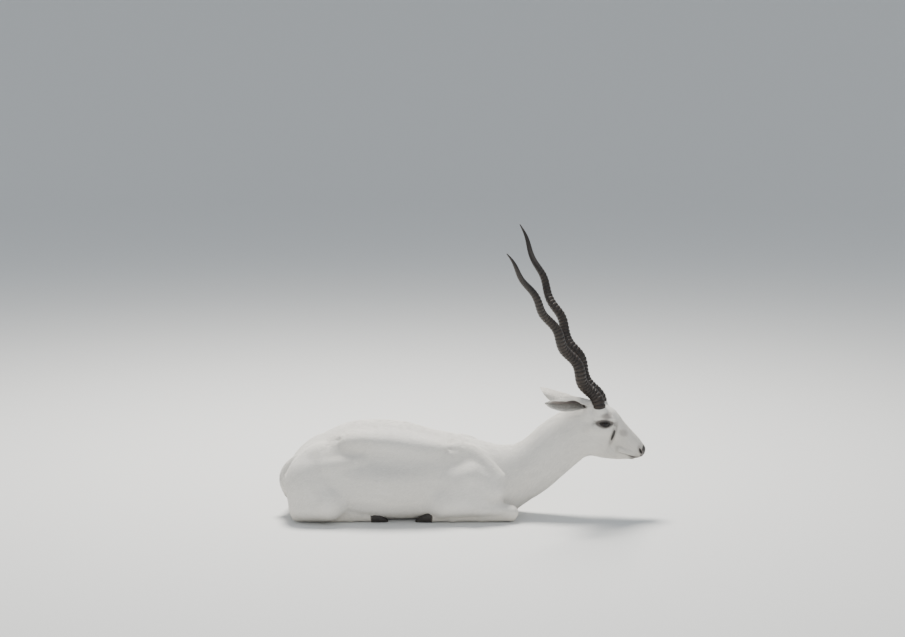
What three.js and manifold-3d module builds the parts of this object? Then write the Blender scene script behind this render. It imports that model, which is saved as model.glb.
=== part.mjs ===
// A blackbuck ram, white coated, lying on its chest with folded legs and raised head.
// Millimetres, +X towards the nose, +Y to the animal's left, +Z up. The floor is z = 0.
// The origin is on the floor in the animal's middle plane, under the middle of its length.
import * as THREE from 'three';
import Module from 'manifold-3d';

const wasm = await Module();
wasm.setup();

// Driving dimensions

const GAP = 0.3; // what neighbouring pieces keep between them
const BACK_HEIGHT = 303; // top of the back over the loin
const TRUNK_HALF_WIDTH = 152; // widest half width, at the flank
const BELLY_SINK = 6; // how far the belly is pressed flat by its weight
const LEG_OUT = 100; // distance of the folded feet from the middle plane
const HEAD_ORIGIN = [375, -4, 292]; // between the ears, inside the skull
const HEAD_PITCH = 27; // nose below the level, degrees
const HEAD_SIDE = [0.127, 0.982, 0.12]; // towards the left ear: the head is turned and tipped a little
const EYE_RADIUS = 16;
const EYE_AT = [54, 35, 40]; // in the head's own frame: forward, aside, up
const HORN_BASE = [15, 27, 72]; // start of the right and left horn's axis, in the head's frame
const HORN_LENGTH = 583; // along the axis, from inside the pedicle to the tip
const HORN_BACK = 144.4; // angle between the muzzle and the horn's axis, degrees
const HORN_TIP_OUT = 204; // half the distance between the tips
const HORN_PITCH = 132; // length of one turn of the spiral
const HORN_RINGS = 24; // raised annuli on each horn
const EAR_LENGTH = 153;
const EAR_HALF_WIDTH = 44;

// Vectors

const add = (a, b) => [a[0] + b[0], a[1] + b[1], a[2] + b[2]];
const sub = (a, b) => [a[0] - b[0], a[1] - b[1], a[2] - b[2]];
const scale = (a, k) => [a[0] * k, a[1] * k, a[2] * k];
const dot = (a, b) => a[0] * b[0] + a[1] * b[1] + a[2] * b[2];
const cross = (a, b) => [
  a[1] * b[2] - a[2] * b[1],
  a[2] * b[0] - a[0] * b[2],
  a[0] * b[1] - a[1] * b[0],
];
const unit = (a) => scale(a, 1 / Math.hypot(...a));
const mix = (a, b, t) => a.map((value, i) => value + (b[i] - value) * t);
const clamp = (value, low, high) => Math.min(Math.max(value, low), high);
const radians = THREE.MathUtils.degToRad;
const smoothstep = THREE.MathUtils.smoothstep;
const WORLD_AXES = [[1, 0, 0], [0, 1, 0], [0, 0, 1]];

// A smooth curve through values given at increasing places, held level beyond both ends.
function spline(places, values) {
  const last = places.length - 1;
  const rise = places.map((_, i) => {
    const from = Math.max(i - 1, 0);
    const to = Math.min(i + 1, last);
    return (values[to] - values[from]) / (places[to] - places[from]);
  });
  return (at) => {
    const x = clamp(at, places[0], places[last]);
    let i = 0;
    while (i < last - 1 && x > places[i + 1]) i += 1;
    const span = places[i + 1] - places[i];
    const t = (x - places[i]) / span;
    const bend = t * t * (3 - 2 * t);
    const leave = t * (1 - t) * (1 - t) * span * rise[i];
    const arrive = t * t * (t - 1) * span * rise[i + 1];
    return values[i] + (values[i + 1] - values[i]) * bend + leave + arrive;
  };
}

// Distance fields: negative inside flesh. Each mass melts into the rest over its blend length.

const meltIn = (a, b, blend) => {
  const near = Math.max(blend - Math.abs(a - b), 0) / blend;
  return Math.min(a, b) - near * near * blend * 0.25;
};
const carveOut = (a, b, blend) => -meltIn(-a, b, blend);

// Two balls and the cone between them, squashed along one side direction.
function limb(from, to, radiusFrom, radiusTo, blend = 20, flat = 1, side = [0, 1, 0]) {
  const axis = sub(to, from);
  const length2 = dot(axis, axis);
  const reach = Math.max(radiusFrom, radiusTo);
  const depth = (p) => {
    const q = sub(p, from);
    const t = clamp(dot(q, axis) / length2, 0, 1);
    const off = sub(q, scale(axis, t));
    const aside = dot(off, side);
    const across = Math.sqrt(Math.max(dot(off, off) - aside * aside, 0));
    const radius = radiusFrom + (radiusTo - radiusFrom) * t;
    if (flat === 1) return Math.hypot(...off) - radius;
    return (Math.hypot(aside / flat, across) - radius) * Math.min(flat, 1);
  };
  const low = from.map((value, i) => Math.min(value, to[i]) - reach);
  const high = from.map((value, i) => Math.max(value, to[i]) + reach);
  return { depth, blend, low, high };
}

// An ellipsoid with its own three axes.
function lump(centre, radii, blend = 20, axes = WORLD_AXES) {
  const reach = Math.max(...radii);
  const depth = (p) => {
    const q = sub(p, centre);
    const local = axes.map((axis) => dot(q, axis));
    const near = Math.hypot(...local.map((value, i) => value / radii[i]));
    const steep = Math.hypot(...local.map((value, i) => value / (radii[i] * radii[i])));
    return steep < 1e-9 ? -Math.min(...radii) : (near * (near - 1)) / steep;
  };
  return { depth, blend, low: centre.map((v) => v - reach), high: centre.map((v) => v + reach) };
}

// A bent tube through points, with a radius and a sideways flatness at each.
function bend(points, radii, flats, blend, count, side = [0, 1, 0]) {
  const places = points.map((_, i) => i);
  const curves = [0, 1, 2].map((k) => spline(places, points.map((p) => p[k])));
  const radius = spline(places, radii);
  const flat = spline(places, flats);
  const nodes = Array.from({ length: count + 1 }, (_, i) => (i * (points.length - 1)) / count);
  const centres = nodes.map((at) => curves.map((curve) => curve(at)));
  const sizes = nodes.map(radius);
  const reach = Math.max(...sizes);
  const depth = (p) => {
    let best = Infinity;
    for (let i = 0; i < count; i += 1) {
      const axis = sub(centres[i + 1], centres[i]);
      const q = sub(p, centres[i]);
      const t = clamp(dot(q, axis) / dot(axis, axis), 0, 1);
      const off = sub(q, scale(axis, t));
      const aside = dot(off, side);
      const across = Math.sqrt(Math.max(dot(off, off) - aside * aside, 0));
      const squash = flat(nodes[i] + t * (nodes[1] - nodes[0]));
      const size = sizes[i] + (sizes[i + 1] - sizes[i]) * t;
      best = Math.min(best, (Math.hypot(aside / squash, across) - size) * squash);
    }
    return best;
  };
  const low = [0, 1, 2].map((k) => Math.min(...centres.map((c) => c[k])) - reach);
  const high = [0, 1, 2].map((k) => Math.max(...centres.map((c) => c[k])) + reach);
  return { depth, blend, low, high };
}

const outside = (mass, p, margin) =>
  p.some((value, k) => value < mass.low[k] - margin || value > mass.high[k] + margin);

function joined(masses, start = () => 1e3) {
  return (p) => masses.reduce((depth, mass) => {
    if (outside(mass, p, mass.blend + 12)) return depth;
    const own = mass.depth(p);
    return mass.carve ? carveOut(depth, own, mass.blend) : meltIn(depth, own, mass.blend);
  }, start(p));
}

const carved = (mass) => ({ ...mass, carve: true });
const turnedY = (degrees) => {
  const c = Math.cos(radians(degrees));
  const s = Math.sin(radians(degrees));
  return [[c, 0, -s], [0, 1, 0], [s, 0, c]];
};

// Trunk: upper line, underside, height of the widest place and half width along the body.

const TRUNK_END = { rear: -500, rearLength: 56, front: 130, frontLength: 58 };
const topLine = spline(
  [-556, -532, -476, -411, -340, -263, -182, -136, -90, -25, 22, 68, 124, 190],
  [140, 168, 222, 268, 296, BACK_HEIGHT - 1, 296, 284, 270, 257, 238, 218, 197, 186],
);
const underLine = spline(
  [-556, -500, -420, -263, -90, 22, 100, 150, 190],
  [62, 30, 4, -BELLY_SINK, -BELLY_SINK, -BELLY_SINK, -2, 8, 30],
);
const widestLine = spline([-556, -411, -263, -90, 22, 124, 190], [118, 128, 112, 112, 108, 104, 110]);
const widthLine = spline(
  [-556, -500, -430, -340, -263, -183, -90, -25, 50, 124, 190],
  [84, 102, 120, 140, TRUNK_HALF_WIDTH, TRUNK_HALF_WIDTH - 2, 134, 116, 96, 78, 66],
);

function trunk(p) {
  const [x, y, z] = p;
  const height = z - widestLine(x);
  const up = height > 0;
  const half = up ? topLine(x) - widestLine(x) : widestLine(x) - underLine(x);
  const width = widthLine(x);
  const power = up ? 2.0 : 2.35; // round over the back, squarer below
  const rear = Math.max(TRUNK_END.rear - x, 0) / TRUNK_END.rearLength;
  const front = Math.max(x - TRUNK_END.front, 0) / TRUNK_END.frontLength;
  const end = Math.max(rear, front);
  const sum = (Math.abs(y) / width) ** power + (Math.abs(height) / half) ** power + end ** power;
  return (sum ** (1 / power) - 1) * Math.min(width, half, 110) * 0.9;
}

const neckMass = bend(
  [[70, 0, 124], [120, 0, 120], [172, 0, 129], [213, -1, 150.5], [253, -2, 181.5], [293, -3, 218.5],
    [329, -4, 248], [355, -4, 272]],
  [92, 92, 92, 88, 84.5, 85, 81, 72],
  [0.66, 0.66, 0.67, 0.68, 0.67, 0.67, 0.68, 0.7],
  45,
  18,
);

// Haunch: rump muscles, thigh, fold of the flank and hip. side is 1 for left, -1 for right.
const haunch = (side) => [
  lump([-428, side * 74, 140], [92, 60, 84], 40),
  limb([-462, side * 74, 136], [-412, side * 119, 74], 70, 48, 20),
  lump([-470, side * 90, 84], [66, 58, 72], 30),
  limb([-412, side * 116, 176], [-296, side * 119, 200], 14, 3, 22), // fold of the flank
  lump([-448, side * 76, 212], [34, 18, 18], 28, turnedY(-30)), // hip
];

// Loin: the long muscle beside the spine and the hollow under it.
const loin = (side) => [
  lump([-205, side * 86, 239], [150, 26, 24], 40, turnedY(5)),
  carved(lump([-262, side * 158, 208], [124, 28, 26], 48, turnedY(5))),
];

// Shoulder: blade, its front edge, upper arm and the muscle behind it.
const shoulder = (side) => [
  lump([34, side * 64, 168], [54, 32, 86], 24, turnedY(-44)),
  bend(
    [[-20, side * 50, 234], [12, side * 62, 222], [40, side * 70, 204], [67, side * 76, 187],
      [91, side * 82, 164], [108, side * 84, 138]],
    [9, 12, 14, 15, 17, 20],
    [1, 1, 1, 1, 1, 1],
    12,
    8,
  ),
  limb([30, side * 84, 140], [102, side * 76, 108], 48, 38, 22),
  limb([96, side * 84, 98], [-50, side * 106, 66], 38, 36, 18),
  lump([-12, side * 95, 100], [68, 42, 70], 20, turnedY(16)),
];

// Head, in its own frame: forward along the muzzle, aside to the left, up through the brow.

const sideAxis = unit(HEAD_SIDE);
const levelForward = unit(sub([1, 0, 0], scale(sideAxis, sideAxis[0])));
const levelUp = cross(levelForward, sideAxis);
const headForward = add(
  scale(levelForward, Math.cos(radians(HEAD_PITCH))),
  scale(levelUp, -Math.sin(radians(HEAD_PITCH))),
);
const headUp = cross(headForward, sideAxis);
const HEAD_AXES = [headForward, sideAxis, headUp];
const toHead = (p) => HEAD_AXES.map((axis) => dot(sub(p, HEAD_ORIGIN), axis));
const turnFromHead = (v) =>
  [0, 1, 2].map((k) => v[0] * headForward[k] + v[1] * sideAxis[k] + v[2] * headUp[k]);
const fromHead = (v) => add(turnFromHead(v), HEAD_ORIGIN);

// Height of the parting between the lips, from the corner of the mouth to the front.
const mouthLine = spline([118, 150, 178, 200, 216], [-25, -23, -19, -13, -9]);
const MOUTH_CORNER = 126;

const EAR_BASE = { right: [-14, -29, 66], left: [-16, 33, 48] }; // where the ears grow from
const headSide = (side) => [
  lump([44, side * 24, -26], [50, 22, 46], 18), // cheek
  limb([30, side * 40, 12], [84, side * 31, 22], 15, 9, 16), // cheek bone
  lump([54, side * 30, 41], [30, 18, 24], 12), // orbit
  lump([52, side * 33, 58], [27, 12, 9], 10), // brow
  carved(lump([54, side * 55, 40], [21, 16, 14], 8)), // hollow that the eye lies in
  limb([28, side * 26, 44], [21, side * 33, 69], 24, 21.5, 16), // horn pedicle
  limb([-2, side * 28, 42], side > 0 ? EAR_BASE.left : EAR_BASE.right, 18, 14, 16), // ear root
  limb([136, side * 19, mouthLine(136) + 7], [190, side * 12, mouthLine(190) + 6], 8, 6.5, 8), // lip
  limb([140, side * 15, mouthLine(140) - 6], [182, side * 8, mouthLine(182) - 6], 8, 6, 8), // lower lip
  lump([186, side * 12, 9], [14, 8, 9], 7), // wing of the nostril
];
const headMasses = [
  lump([20, 0, 30], [54, 44, 48], 20), // skull
  lump([50, 0, 40], [46, 38, 38], 20), // forehead
  bend(
    [[62, 0, 24], [95, 0, 20], [130, 0, 16], [162, 0, 11], [187, 0, 3]],
    [54, 45, 36, 30, 25],
    [0.7, 0.66, 0.7, 0.76, 0.86],
    16,
    12,
  ), // nose and upper jaw
  bend(
    [[30, 0, -42], [76, 0, -46], [120, 0, -38], [154, 0, -28], [175, 0, -20]],
    [38, 34, 27, 20, 14],
    [0.95, 0.85, 0.82, 0.9, 1.05],
    16,
    12,
  ), // lower jaw
  lump([187, 0, 6], [19, 20, 18], 8), // nose
  ...headSide(1),
  ...headSide(-1),
];
const headDepth = joined(headMasses);
const bodyMasses = [neckMass, ...[loin, haunch, shoulder].flatMap((part) => [...part(1), ...part(-1)])];
const trunkDepth = joined(bodyMasses, trunk);
const HEAD_BLEND = 22;
const body = (p) => meltIn(trunkDepth(p), headDepth(toHead(p)), HEAD_BLEND);

// Lower limbs, folded under the body. Points are for the left side; aside mirrors them.

const aside = (side, masses) => masses(([x, y, z]) => [x, side * y, z]);
const forearmMasses = (side) => aside(side, (at) => [
  limb(at([-56, 109, 58]), at([60, 108, 44]), 32, 22, 14),
  limb(at([60, 108, 44]), at([148, 103, 36]), 22, 17, 12),
  lump(at([-66, 110, 52]), [22, 24, 32], 12),
  lump(at([148, 102, 30]), [25, 20, 22], 10),
]);
const foreCannonMasses = (side) => aside(side, (at) => [
  limb(at([150, LEG_OUT + 1, 19]), at([60, LEG_OUT, 13]), 17, 13, 6),
  limb(at([60, LEG_OUT, 13]), at([-22, LEG_OUT, 14]), 13, 14, 6),
  lump(at([-30, LEG_OUT, 16.5]), [18, 17, 17.5], 8),
]);
const forePasternMasses = (side) => aside(side, (at) => [
  lump(at([-30, LEG_OUT, 16.5]), [18, 17, 17.5], 8),
  limb(at([-34, LEG_OUT, 16]), at([-92, LEG_OUT, 15]), 15, 15, 8),
  lump(at([-47, LEG_OUT + 8, 29]), [8, 5, 7], 4), // dewclaw
  lump(at([-47, LEG_OUT - 8, 29]), [8, 5, 7], 4),
]);
const shankMasses = (side) => aside(side, (at) => [
  limb(at([-408, 122, 54]), at([-488, 112, 42]), 41, 28, 14),
  limb(at([-474, 112, 42]), at([-506, 106, 34]), 26, 17, 14),
]);
const hindCannonMasses = (side) => aside(side, (at) => [
  limb(at([-503, LEG_OUT + 4, 22]), at([-430, LEG_OUT, 14.5]), 19, 15, 8),
  limb(at([-430, LEG_OUT, 14.5]), at([-350, LEG_OUT - 2, 14.5]), 15, 15, 6),
  lump(at([-342, LEG_OUT - 2, 17]), [19, 17.5, 18], 8),
]);
const hindPasternMasses = (side) => aside(side, (at) => [
  lump(at([-342, LEG_OUT - 2, 17]), [19, 17.5, 18], 8),
  limb(at([-338, LEG_OUT - 2, 16.5]), at([-278, LEG_OUT - 2, 15]), 15.5, 15, 8),
]);
const tailMasses = [
  bend(
    [[-506, 0, 176], [-537, 0, 155], [-552, 0, 124], [-552, 0, 92], [-545, 0, 62]],
    [19, 17, 18, 16, 9],
    [1, 1.1, 1.25, 1.3, 1.3],
    8,
    8,
  ),
];

// Solids

function solidOf(vertices, triangles) {
  return new wasm.Manifold(new wasm.Mesh({
    numProp: 3,
    vertProperties: new Float32Array(vertices.flat()),
    triVerts: new Uint32Array(triangles.flat()),
  }));
}

function volumeOf(solid) {
  const { numTri, triVerts, vertProperties } = solid.getMesh();
  const corner = (i) => [0, 1, 2].map((k) => vertProperties[3 * triVerts[i] + k]);
  let volume = 0;
  for (let i = 0; i < numTri; i += 1) {
    volume += dot(corner(3 * i), cross(corner(3 * i + 1), corner(3 * i + 2))) / 6;
  }
  return volume;
}

// A node is one closed body: scraps that a cut leaves are dropped, and sealed hollows filled.
function largest(solid) {
  const bodies = solid.decompose().map((piece) => ({ piece, volume: volumeOf(piece) }));
  return bodies.reduce((best, next) => (next.volume > best.volume ? next : best)).piece;
}

// Closed rings of equal count, joined in order, with flat or pointed ends.
function ringSolid(rings, first, last) {
  const sides = rings[0].length;
  const vertices = [...rings.flat(), first, last];
  const triangles = [];
  const firstIndex = vertices.length - 2;
  const lastIndex = vertices.length - 1;
  const tail = (rings.length - 1) * sides;
  for (let j = 0; j < sides; j += 1) {
    const k = (j + 1) % sides;
    triangles.push([firstIndex, k, j], [lastIndex, tail + j, tail + k]);
    for (let i = 0; i < rings.length - 1; i += 1) {
      const here = i * sides;
      const next = here + sides;
      const even = sub(rings[i][j], rings[i + 1][k]);
      const odd = sub(rings[i][k], rings[i + 1][j]);
      if (dot(even, even) < dot(odd, odd)) {
        triangles.push([here + j, here + k, next + k], [here + j, next + k, next + j]);
      } else {
        triangles.push([here + j, here + k, next + j], [here + k, next + k, next + j]);
      }
    }
  }
  return solidOf(vertices, triangles);
}

// The place along a ray from inside the flesh where the field reaches the given level.
function surfaceAlong(field, from, direction, level) {
  let near = 0;
  let far = 0;
  for (let i = 0; i < 400; i += 1) {
    const depth = field(add(from, scale(direction, far))) - level;
    if (depth > 0) break;
    near = far;
    far += Math.max(-depth * 0.85, 0.6);
  }
  for (let i = 0; i < 14; i += 1) {
    const middle = (near + far) / 2;
    if (field(add(from, scale(direction, middle))) - level > 0) far = middle;
    else near = middle;
  }
  return add(from, scale(direction, (near + far) / 2));
}

// A station is a centre, a forward axis and a side axis. A skin goes through the field's
// surface all round each station; its ends are flat, or run out to a point along the axis.
function skin(field, stations, sides, level = 0, ends = ['flat', 'flat']) {
  const rings = stations.map(({ at, forward, side }) => {
    const up = unit(cross(forward, side));
    const across = cross(up, forward);
    return Array.from({ length: sides }, (_, j) => {
      const angle = (2 * Math.PI * j) / sides;
      const ray = add(scale(across, Math.cos(angle)), scale(up, Math.sin(angle)));
      return surfaceAlong(field, at, ray, level);
    });
  });
  const close = (station, way, kind) => (kind === 'flat'
    ? station.at
    : surfaceAlong(field, station.at, scale(unit(station.forward), way), level));
  const first = close(stations[0], -1, ends[0]);
  const last = close(stations[stations.length - 1], 1, ends[1]);
  return ringSolid(rings, first, last);
}

// Stations spread evenly between key stations, at the given places along them.
function stationsAlong(keys, places) {
  const along = keys.map((key) => key.place);
  const curve = (name) => [0, 1, 2].map((k) => spline(along, keys.map((key) => key[name][k])));
  const at = curve('at');
  const forward = curve('forward');
  const side = curve('side');
  return places.map((place) => ({
    at: at.map((c) => c(place)),
    forward: unit(forward.map((c) => c(place))),
    side: unit(side.map((c) => c(place))),
  }));
}

const evenly = (from, to, count) =>
  Array.from({ length: count + 1 }, (_, i) => from + ((to - from) * i) / count);

// Everything on the far side of a plane, as a big block with its near face on the plane.
function beyond(point, normal) {
  const size = 900;
  const n = unit(normal);
  const helper = Math.abs(n[2]) < 0.9 ? [0, 0, 1] : [1, 0, 0];
  const u = unit(cross(helper, n));
  const v = cross(n, u);
  const corner = (a, b) => add(point, add(scale(u, a * size), scale(v, b * size)));
  const ring = [corner(1, 1), corner(-1, 1), corner(-1, -1), corner(1, -1)];
  const far = ring.map((p) => add(p, scale(n, size)));
  return ringSolid([ring, far], point, add(point, scale(n, size)));
}

// A ball stretched along its own axes.
function ball(centre, radii, axes, around, down) {
  const rings = [];
  for (let i = 1; i < down; i += 1) {
    const tilt = (Math.PI * i) / down;
    rings.push(Array.from({ length: around }, (_, j) => {
      const turn = (2 * Math.PI * j) / around;
      const local = [
        -Math.cos(tilt) * radii[0],
        Math.sin(tilt) * Math.cos(turn) * radii[1],
        Math.sin(tilt) * Math.sin(turn) * radii[2],
      ];
      return local.reduce((p, value, k) => add(p, scale(axes[k], value)), centre);
    }));
  }
  const pole = scale(axes[0], radii[0]);
  return ringSolid(rings, sub(centre, pole), add(centre, pole));
}

const floorBlock = beyond([0, 0, 0], [0, 0, -1]);

// Trunk, neck and head are one skin, cut across by two planes.

const level = (degrees) => [Math.cos(radians(degrees)), 0, Math.sin(radians(degrees))];
const LEFT = [0, 1, 0];
const bodyKeys = [
  { place: -554, at: [-554, 0, 104], forward: level(0), side: LEFT },
  { place: -480, at: [-480, 0, 118], forward: level(0), side: LEFT },
  { place: -300, at: [-300, 0, 128], forward: level(0), side: LEFT },
  { place: 0, at: [0, 0, 126], forward: level(0), side: LEFT },
  { place: 60, at: [60, 0, 127], forward: level(2), side: LEFT },
  { place: 130, at: [130, 0, 131], forward: level(13), side: LEFT },
  { place: 200, at: [200, 0, 150], forward: level(33), side: LEFT },
  { place: 260, at: [256, -2, 190], forward: level(42), side: LEFT },
  { place: 320, at: [304, -3, 232], forward: level(37), side: LEFT },
  { place: 365, at: [344, -4, 262], forward: level(17), side: LEFT },
  { place: 400, at: [377, -4, 276], forward: level(0), side: LEFT },
];
const NECK_BASE = 188;
const NECK_TOP = 400;
const [neckBase, neckTop] = stationsAlong(bodyKeys, [NECK_BASE, NECK_TOP]);
const headCentre = (s, t) => fromHead([s, 0, t]);
const headKeys = [
  { place: 0, at: [377, -4, 276], forward: level(0), side: LEFT },
  {
    place: 22,
    at: headCentre(20, -2),
    forward: mix(level(0), headForward, 0.6),
    side: mix(LEFT, sideAxis, 0.6),
  },
  { place: 52, at: headCentre(52, 4), forward: headForward, side: sideAxis },
  { place: 100, at: headCentre(100, -4), forward: headForward, side: sideAxis },
  { place: 150, at: headCentre(150, -8), forward: headForward, side: sideAxis },
  { place: 190, at: headCentre(190, -6), forward: headForward, side: sideAxis },
  { place: 204, at: headCentre(204, 2), forward: headForward, side: sideAxis },
  { place: 210, at: headCentre(210, 3), forward: headForward, side: sideAxis },
];

const trunkPlaces = [-548, -536, -516, ...evenly(-492, 164, 23), NECK_BASE];
const trunkStations = stationsAlong(bodyKeys, [...trunkPlaces, NECK_BASE + 20]);
const TRUNK_SIDES = 34;
const trunkSkin = skin(body, trunkStations, TRUNK_SIDES, 0, ['point', 'flat'])
  .subtract(beyond(sub(neckBase.at, scale(neckBase.forward, GAP / 2)), neckBase.forward))
  .subtract(floorBlock);
// The same skin a gap further out, which trims whatever lies against the trunk.
const trunkRoom = skin(body, trunkStations, TRUNK_SIDES, GAP, ['point', 'flat']);

const NECK_SIDES = 26;
const neckStations = stationsAlong(bodyKeys, evenly(NECK_BASE - 14, NECK_TOP + 10, 11));
const neckRoom = skin(body, neckStations, NECK_SIDES, GAP);
const neck = skin(body, neckStations, NECK_SIDES)
  .subtract(beyond(add(neckBase.at, scale(neckBase.forward, GAP / 2)), scale(neckBase.forward, -1)))
  .subtract(beyond(sub(neckTop.at, scale(neckTop.forward, GAP / 2)), neckTop.forward))
  .subtract(floorBlock);

// Upper limbs are parted from the trunk by thin cuts along an oval.

const UPPER_LIMBS = {
  shoulder: { at: [22, 122, 136], radii: [88, 72, 134], tilt: -36 },
  thigh: { at: [-440, 132, 112], radii: [112, 82, 112], tilt: 12 },
};
function upperLimbRoom({ at, radii, tilt }, side, grow) {
  const [long, aside, tall] = turnedY(tilt);
  const centre = [at[0], side * at[1], at[2]];
  const [half, deep, high] = radii.map((r) => r + grow);
  return ball(centre, [deep, high, half], [aside, tall, long], 18, 10);
}

// Lower limbs are skins of their own, trimmed by what they lie against.

const straight = (from, to, count) => {
  const forward = unit(sub(to, from));
  const closer = (t) => t - 0.5 * Math.sin(2 * Math.PI * t) / (2 * Math.PI); // denser at the ends
  return evenly(0, 1, count).map((t) => ({ at: mix(from, to, closer(t)), forward, side: LEFT }));
};
const mirrored = (stations, side) => stations.map(({ at, forward }) => ({
  at: [at[0], side * at[1], at[2]],
  forward: [forward[0], side * forward[1], forward[2]],
  side: LEFT,
}));
const LIMB_SIDES = 10;
const FLAT = ['flat', 'flat'];
function limbSkin(masses, side, from, to, count, grow = 0, ends = ['point', 'point']) {
  return skin(joined(masses(side)), mirrored(straight(from, to, count), side), LIMB_SIDES, grow, ends);
}

// Two claws of one foot, side by side, each a wedge that is flat towards the cleft.

const CLAW = { length: 54, width: 13, height: 29, cleft: 1.8, sink: 0.6, pieces: 4, sides: 8 };
const clawHeight = spline([0, 0.25, 0.5, 0.75, 1], [1, 0.98, 0.8, 0.52, 0.16]);
const clawWidth = spline([0, 0.3, 0.6, 0.85, 1], [0.95, 1, 0.9, 0.62, 0.24]);

function claw(from, heading, side, outer) {
  const across = side * (outer ? 1 : -1);
  const rings = evenly(0, 1, CLAW.pieces).map((t) => {
    const height = CLAW.height * clawHeight(t);
    const width = CLAW.width * clawWidth(t);
    return Array.from({ length: CLAW.sides }, (_, j) => {
      const turn = (2 * Math.PI * (j + 0.5)) / CLAW.sides;
      const sideways = Math.max(Math.cos(turn), -0.55) + 0.55; // flat towards the cleft
      const y = CLAW.cleft / 2 + (sideways / 1.5) * width;
      const z = clamp(0.5 + 0.56 * Math.sin(turn), 0, 1) * height - CLAW.sink;
      return [from[0] + heading * t * CLAW.length, side * from[1] + across * y, z];
    });
  });
  const ordered = heading * across > 0 ? rings : rings.map((ring) => [...ring].reverse());
  const middle = (ring) => scale(ring.reduce(add, [0, 0, 0]), 1 / ring.length);
  return ringSolid(ordered, middle(ordered[0]), middle(ordered[ordered.length - 1]))
    .subtract(floorBlock);
}

// Horns: a tapering tube wound in an open spiral, ringed except towards the tip.

const HORN_RADIUS = spline([0, 0.1, 0.35, 0.55, 0.75, 0.9, 1], [18.4, 17.8, 15.2, 13, 10.4, 6.8, 1.4]);
const HORN_SIDES = 10;
const RINGED_PART = 0.8; // share of the length that carries annuli
const RING_HEIGHT = 1.5;

function hornCentre(t, side) {
  const angle = radians(HORN_BACK);
  const forwardOf = [Math.sin(angle), 0, -Math.cos(angle)];
  const along = [Math.cos(angle), 0, Math.sin(angle)];
  const spread = (HORN_TIP_OUT - HORN_BASE[1]) * t ** 1.6;
  const turn = (2 * Math.PI * (t * HORN_LENGTH - 22)) / HORN_PITCH;
  const sway = 8.5 - 5.5 * t;
  const base = [HORN_BASE[0], side * (HORN_BASE[1] + spread - sway * Math.sin(turn)), HORN_BASE[2]];
  const local = add(add(base, scale(along, t * HORN_LENGTH)), scale(forwardOf, sway * Math.cos(turn)));
  return fromHead(local);
}

function horn(side, grow = 0) {
  const places = [];
  for (let i = 0; i < HORN_RINGS; i += 1) {
    const start = 0.035 + ((RINGED_PART - 0.035) * i) / HORN_RINGS;
    const step = (RINGED_PART - 0.035) / HORN_RINGS;
    places.push({ t: start, raise: -0.35 * RING_HEIGHT }, { t: start + step * 0.62, raise: RING_HEIGHT });
  }
  evenly(RINGED_PART, 0.992, 9).forEach((t) => places.push({ t, raise: 0 }));
  places.unshift({ t: 0, raise: 0 });
  const forwardOf = turnFromHead([Math.sin(radians(HORN_BACK)), 0, -Math.cos(radians(HORN_BACK))]);
  const rings = places.map(({ t, raise }) => {
    const ahead = hornCentre(Math.min(t + 0.004, 1), side);
    const behind = hornCentre(Math.max(t - 0.004, 0), side);
    const tangent = unit(sub(ahead, behind));
    const u = unit(sub(forwardOf, scale(tangent, dot(forwardOf, tangent))));
    const v = cross(tangent, u);
    const fade = 1 - 0.6 * t;
    const radius = HORN_RADIUS(t) + raise * fade + grow;
    return Array.from({ length: HORN_SIDES }, (_, j) => {
      const angle = (2 * Math.PI * j) / HORN_SIDES;
      const off = add(scale(u, Math.cos(angle) * radius), scale(v, Math.sin(angle) * radius));
      return add(hornCentre(t, side), off);
    });
  });
  return ringSolid(rings, hornCentre(0, side), hornCentre(1, side));
}

// Ears: a leaf of even thickness, rolled into a funnel at the root and opening outwards.

const EARS = {
  right: { root: [-14, -28, 70], tip: [-120, -107, 33], open: [0.643, -0.69, -0.33], bow: 11 },
  left: { root: [-14, 31, 46], tip: [-148, 52, 12], open: [0.267, 0.233, -0.935], bow: 0 },
};
const EAR_WIDTH = spline([0, 0.12, 0.35, 0.6, 0.82, 0.94, 1], [31, 37, EAR_HALF_WIDTH, 42, 28, 13, 2.5]);
const EAR_ROLL = spline([0, 0.25, 0.5, 0.7, 1], [2.75, 2.35, 1.6, 1.65, 0.8]);
const EAR_SINK = 10; // how far the back of the leaf lies behind the ear's axis
const EAR_THICK = spline([0, 0.3, 1], [4.5, 3, 1.6]);

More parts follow.
